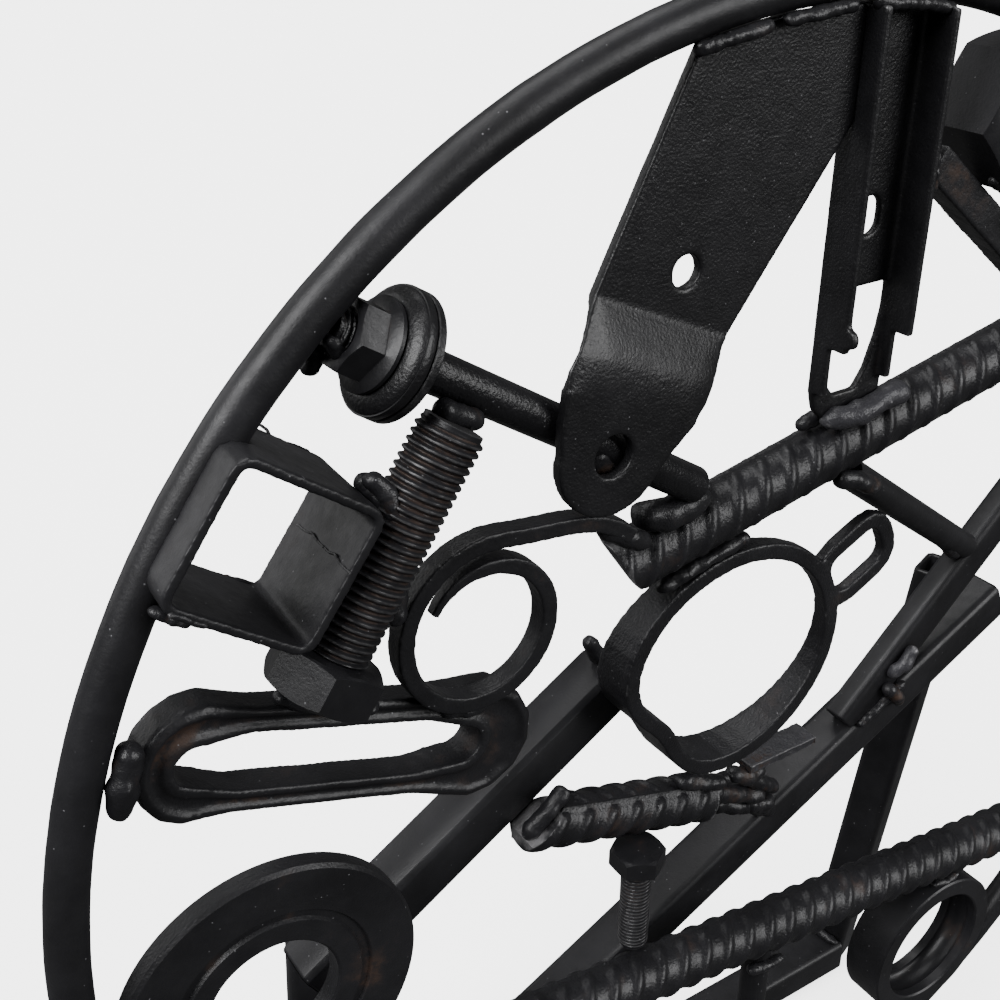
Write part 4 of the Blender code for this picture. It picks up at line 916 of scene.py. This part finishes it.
class DISC_OT_fasteners(bpy.types.Operator):
    """Stud with its nut and washers, the big hex bolt, the large nut and the small bolt."""

    bl_idname = "disc.fasteners"
    bl_label = "Nuts, bolts and washers"

    def execute(self, context):
        sizes = context.scene.disc_sizes
        self.stud(sizes.stud_pitch)
        self.flange_nut()
        self.washers()
        self.bolt(
            "big_bolt", "hex_bolt", BOLT_TIP, along(BOLT_WAY) @ Matrix.Rotation(math.radians(26), 4, "Z"),
            diameter=0.020, depth=0.0012, pitch=sizes.bolt_pitch, length=BOLT_LENGTH, flats=0.030,
            head=0.0125,
        )
        low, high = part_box("small_bolt")
        tip = Vector(((low.x + high.x) / 2, (low.y + high.y) / 2, low.z))
        head = 0.008
        self.bolt(
            "little_bolt", "small_bolt", tip, Matrix(),
            diameter=0.012, depth=0.0010, pitch=sizes.stud_pitch, length=high.z - low.z - head, flats=0.019,
            head=head,
        )
        self.large_nut()
        return {"FINISHED"}

    def stud(self, pitch):
        """Rod with its thread at the hoop's end."""
        length = STUD_THREAD + 0.004
        depth = 0.0011
        mesh = ridged_bar(
            "thread", Length=length, Radius=ROD / 2 - depth, Spacing=pitch, Height=depth, Width=0.95,
            Lead=-1.0, From=0.0004, To=length, Rings=int(length / pitch * STUD_RINGS),
        )
        shank = lofted(turned([(ROD / 2, STUD_THREAD + 0.001), (ROD / 2, STUD_LENGTH)], 48))
        shank = applied(shank, ("BEVEL", {"width": 0.0008, "segments": 3}))
        piece("stud", placed(joined(mesh, shank), STUD_START, along(STUD_WAY)), "stud", "stud_rod")

    def flange_nut(self):
        flats = 0.019
        rim = 0.0135
        profile = [
            (BORE, NUT_LOW + 0.0006), (BORE + 0.0008, NUT_LOW), (flats * 0.47, NUT_LOW),
            (hexagon(flats), chamfer(flats, NUT_LOW, -0.55)), (hexagon(flats), NUT_HIGH - 0.0034),
            (hexagon(flats * 1.02), NUT_HIGH - 0.0030), (rim - 0.0012, NUT_HIGH - 0.0022),
            (rim, NUT_HIGH - 0.0014), (rim, NUT_HIGH - 0.0003), (rim - 0.0003, NUT_HIGH), (BORE, NUT_HIGH),
        ]
        mesh = lofted(turned(profile, 144), closed=True)
        piece("flanged_nut", placed(mesh, STUD_START, along(STUD_WAY)), "thread", "flange_nut", sharp=28)

    def washers(self):
        """Dished washer with a step in its rim, and a flat one."""
        turn = along(STUD_WAY)
        rim = WASHER_RADIUS
        profile = [
            (BORE, DISH_LOW), (rim * 0.70, DISH_LOW), (rim * 0.80, DISH_LOW + 0.0005),
            (rim * 0.89, DISH_LOW + 0.0014), (rim * 0.96, DISH_LOW + 0.0026),
            (rim * 0.965, DISH_LOW + 0.0029), (rim * 0.99, DISH_LOW + 0.0029), (rim, DISH_LOW + 0.0034),
            (rim, DISH_HIGH - 0.0006),
            (rim * 0.98, DISH_HIGH), (BORE, DISH_HIGH),
        ]
        mesh = applied(lofted(turned(profile), closed=True), dents(0.004, 0.00025))
        piece("dished_disc", placed(mesh, STUD_START, turn), "plate", "dished_washer", sharp=45)
        edge = 0.0003
        profile = [
            (BORE, FLAT_LOW), (rim - edge, FLAT_LOW), (rim, FLAT_LOW + edge), (rim, FLAT_HIGH - edge),
            (rim - edge, FLAT_HIGH), (BORE, FLAT_HIGH),
        ]
        mesh = lofted(turned(profile), closed=True)
        piece("flat_disc", placed(mesh, STUD_START, turn), "plate", "flat_washer")

    def large_nut(self):
        """Nut near the top of the hoop, with grooves for a thread."""
        middle = measured("large_nut")[0]
        flats = 0.046
        half = 0.012
        bore = 0.0265 / 2
        threads = 7
        pitch = (half * 2 - 0.004) / threads
        mouth = bore + 0.0014
        profile = [
            (mouth, -half), (flats * 0.485, -half), (hexagon(flats), chamfer(flats, -half, -0.55)),
            (hexagon(flats), chamfer(flats, half, 0.55)), (flats * 0.485, half), (mouth, half),
        ]
        for i in range(threads):
            level = half - 0.002 - i * pitch
            profile += [(bore + 0.0001, level), (mouth, level - pitch / 2)]
        mesh = lofted(turned(profile, 144), closed=True)
        turn = along(-Y, heading(math.radians(68.5)))
        piece("big_nut", placed(mesh, middle, turn), "thread", "large_nut", sharp=28)

    def bolt(self, name, node, tip, turn, diameter, depth, pitch, length, flats, head):
        """Bolt from its tip up to its hexagon head, with a thread of some depth all the way."""
        mesh = ridged_bar(
            "thread", Length=length, Radius=diameter / 2 - depth, Spacing=pitch, Height=depth, Width=0.95,
            Lead=-1.0, From=0.0010, To=length, Rings=int(length / pitch * BOLT_RINGS), Sides=56,
        )
        top = length + head
        tiny = 0.0005
        profile = [
            (tiny, length - tiny), (flats * 0.48, length - 0.0004),
            (hexagon(flats), chamfer(flats, length, -0.3)), (hexagon(flats), chamfer(flats, top, 0.6)),
            (flats * 0.485, top), (flats * 0.2, top), (tiny, top),
        ]
        cap = lofted(turned(profile, 144))
        piece(name, placed(joined(mesh, cap), tip, turn), "thread", node, sharp=28)


class DISC_OT_plates(bpy.types.Operator):
    """Strap, channel, shim, tie bar and flange."""

    bl_idname = "disc.plates"
    bl_label = "Strap, channel and plates"

    def execute(self, context):
        bend = (STRAP_BEND, STRAP_UP, 0.010, 140)
        worked("strap", "strap_bracket", "plate", 0.00075, smooth=3, size=0.011, depth=0.35, bend=bend)
        worked("channel", "channel_bracket", "plate", 0.00072, smooth=6, size=0.016, depth=0.35)
        worked("shim", "shim_plate", "shim", 0.0005, size=0.006, depth=2.0, fine=0.6)
        worked("tie", "tie_bar", "forged", 0.0008)
        middle, half, radius = measured("flange_plate")
        edge = 0.0008
        step = 0.0012
        profile = [
            (0.022, -half + edge), (0.022 + edge, -half), (radius - step, -half), (radius, -half + step),
            (radius, half - step), (radius - step, half), (0.034, half), (0.0332, half - step),
            (0.0308, half - step), (0.030, half), (0.022 + edge, half), (0.022, half - edge),
        ]
        mesh = lofted(turned(profile), closed=True)
        piece("flange", placed(mesh, middle, along(-Y, Z)), "forged", "flange_plate")
        return {"FINISHED"}


class DISC_OT_forgings(bpy.types.Operator):
    """Scroll, chain links and the cast collar."""

    bl_idname = "disc.forgings"
    bl_label = "Scroll, links and collar"

    def execute(self, context):
        worked("scroll_bar", "scroll", "forged", 0.00055, smooth=6, size=0.010, depth=0.5)
        worked("link", "chain_link", "forged", 0.0008, smooth=8, size=0.014, depth=1.2)
        worked("right_link", "second_link", "forged", 0.0011, smooth=8, size=0.014, depth=1.2)
        worked("cast_collar", "collar", "cast", 0.00072, smooth=6, size=0.014, depth=0.6, fine=0.25)
        return {"FINISHED"}


class DISC_OT_tubes(bpy.types.Operator):
    """Tube slice, square tubes behind the disc, legs, base and the round strut."""

    bl_idname = "disc.tubes"
    bl_label = "Tubes, legs and base"

    def execute(self, context):
        worked("slice", "tube_slice", "tube", 0.00080, smooth=6, size=0.014, depth=0.6, fine=0.1)
        for name, node in (
            ("brace_left", "left_brace"), ("brace_long", "long_brace"), ("offcut", "tube_offcut"),
            ("leg_right", "right_leg"), ("leg_left", "left_leg"), ("rail_cross", "base_cross_rail"),
            ("rail_front", "base_front_rail"),
        ):
            square(name, node)
        mesh = lofted(turned([(STRUT_RADIUS, 0), (STRUT_RADIUS, STRUT_WAY.length)], 48))
        mesh = trimmed(placed(mesh, STRUT_START, along(STRUT_WAY)), OFFCUT_PLACE, -OFFCUT_ACROSS)
        piece("strut", mesh, "bar", "round_strut")
        low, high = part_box("foot_strut")
        mesh = lofted(turned([(STRUT_RADIUS, low.z), (STRUT_RADIUS, high.z + 0.004)], 48))
        at = Vector(((low.x + high.x) / 2, 0, 0))
        piece("foot_bar", placed(mesh, at, Matrix()), "bar", "foot_strut")
        return {"FINISHED"}


class DISC_OT_rings(bpy.types.Operator):
    """Bearing rings and slices of round pipe."""

    bl_idname = "disc.rings"
    bl_label = "Rings and pipes"

    def execute(self, context):
        for name, node, wall, groove in (
            ("upper_bearing", "bearing_ring", 0.0075, 0.0028),
            ("lower_bearing", "lower_bearing_ring", 0.009, 0.0034),
            ("pipe_right", "right_pipe", 0.0035, 0), ("pipe_left", "left_pipe", 0.0035, 0),
        ):
            middle, half, radius = measured(node)
            inner = radius - wall
            edge = 0.0007
            profile = [
                (inner, -half + edge), (inner + edge, -half), (radius - edge, -half), (radius, -half + edge),
                (radius, half - edge), (radius - edge, half), (inner + edge, half), (inner, half - edge),
            ]
            if groove:
                steps = 10
                for i in range(steps + 1):
                    a = PI * i / steps
                    profile += [(inner + groove * math.sin(a), half * 0.55 * math.cos(a))]
            mesh = lofted(turned(profile), closed=True)
            kind = "thread" if groove else "tube"
            piece(name, placed(mesh, middle, along(-Y, Z)), kind, node)
        return {"FINISHED"}


class DISC_OT_welds(bpy.types.Operator):
    """Weld beads where the pieces meet."""

    bl_idname = "disc.welds"
    bl_label = "Welds"

    def execute(self, context):
        seed = context.scene.disc_sizes.weld_seed
        for i, (name, radius, points) in enumerate(WELDS):
            kind = "bright_weld" if name in BRIGHT else "weld"
            piece("weld_" + name, weld_bead(radius, points, seed + i), kind, sharp=0)
        for i, (name, radius, points) in enumerate(BURRS):
            piece("slice_burr_" + name, weld_bead(radius, points, seed - i), "weld", sharp=0)
        return {"FINISHED"}


class DISC_OT_stage(bpy.types.Operator):
    """Pale floor, soft lights and the camera."""

    bl_idname = "disc.stage"
    bl_label = "Floor, lights and camera"

    def execute(self, context):
        scene = context.scene
        self.floor(scene)
        world = bpy.data.worlds.new("studio")
        world.use_nodes = True
        background = world.node_tree.nodes["Background"]
        background.inputs[0].default_value = (1, 1, 1, 1)
        background.inputs[1].default_value = WORLD_STRENGTH
        scene.world = world
        for name, source, spread, strength in LIGHTS:
            self.light(scene, name, Vector(source), spread, strength)
        self.camera(scene)
        return {"FINISHED"}

    def floor(self, scene):
        bm = bmesh.new()
        bmesh.ops.create_grid(bm, x_segments=1, y_segments=1, size=FLOOR_HALF)
        mesh = bpy.data.meshes.new("floor")
        bm.to_mesh(mesh)
        bm.free()
        floor = bpy.data.objects.new("floor", mesh)
        floor.location.z = -FLOOR_DROP
        scene.collection.objects.link(floor)
        material = bpy.data.materials.new("floor")
        material.use_nodes = True
        shader = material.node_tree.nodes["Principled BSDF"]
        shader.inputs["Base Color"].default_value = (*scene.disc_colours.floor, 1)
        shader.inputs["Roughness"].default_value = 0.8
        shader.inputs["Emission Color"].default_value = (1, 1, 1, 1)
        shader.inputs["Emission Strength"].default_value = FLOOR_GLOW
        mesh.materials.append(material)
        # The glowing floor isn't mirrored in the steel, which stays dark from below
        floor.visible_glossy = False
        floor.visible_diffuse = False

    def light(self, scene, name, source, spread, strength):
        """Soft light from far off, as wide in degrees as its spread."""
        data = bpy.data.lights.new(name, "SUN")
        data.angle = math.radians(spread)
        data.energy = strength
        lamp = bpy.data.objects.new(name, data)
        lamp.location = HUB + source
        lamp.rotation_euler = source.to_track_quat("Z", "Y").to_euler()
        scene.collection.objects.link(lamp)

    def camera(self, scene):
        """Close view down on to the upper left of the disc, from the left."""
        data = bpy.data.cameras.new("camera")
        data.sensor_width = CAMERA_SENSOR
        data.lens = CAMERA_LENS
        data.clip_start = 0.01
        camera = bpy.data.objects.new("camera", data)
        level = Vector((math.sin(CAMERA_AZIMUTH), math.cos(CAMERA_AZIMUTH), 0))
        ahead = level * math.cos(CAMERA_DOWN) - Z * math.sin(CAMERA_DOWN)
        right = Vector((math.cos(CAMERA_AZIMUTH), -math.sin(CAMERA_AZIMUTH), 0))
        turn = Matrix((right, right.cross(ahead), -ahead)).transposed()
        camera.matrix_world = Matrix.Translation(CAMERA_PLACE) @ turn.to_4x4()
        scene.collection.objects.link(camera)
        scene.camera = camera


STEPS = ("hoop", "rebars", "fasteners", "plates", "forgings", "tubes", "rings", "welds", "stage")


class DISC_PT_panel(bpy.types.Panel):
    """Buttons that build the disc, one for each group of pieces."""

    bl_idname = "DISC_PT_panel"
    bl_label = "Scrap disc"
    bl_space_type = "VIEW_3D"
    bl_region_type = "UI"
    bl_category = "Scrap disc"

    def draw(self, context):
        for group in (context.scene.disc_sizes, context.scene.disc_colours):
            for key in group.bl_rna.properties.keys():
                if key not in ("rna_type", "name"):
                    self.layout.prop(group, key)
        for step in STEPS:
            self.layout.operator("disc." + step)


CLASSES = (
    DiscSizes, DiscColours, DISC_OT_hoop, DISC_OT_rebars, DISC_OT_fasteners, DISC_OT_plates, DISC_OT_forgings,
    DISC_OT_tubes, DISC_OT_rings, DISC_OT_welds, DISC_OT_stage, DISC_PT_panel,
)


def register():
    for cls in CLASSES:
        bpy.utils.register_class(cls)
    bpy.types.Scene.disc_sizes = PointerProperty(type=DiscSizes)
    bpy.types.Scene.disc_colours = PointerProperty(type=DiscColours)


def unregister():
    del bpy.types.Scene.disc_colours
    del bpy.types.Scene.disc_sizes
    for cls in reversed(CLASSES):
        bpy.utils.unregister_class(cls)


def main():
    register()
    for step in STEPS:
        getattr(bpy.ops.disc, step)()


if __name__ == "__main__":
    main()
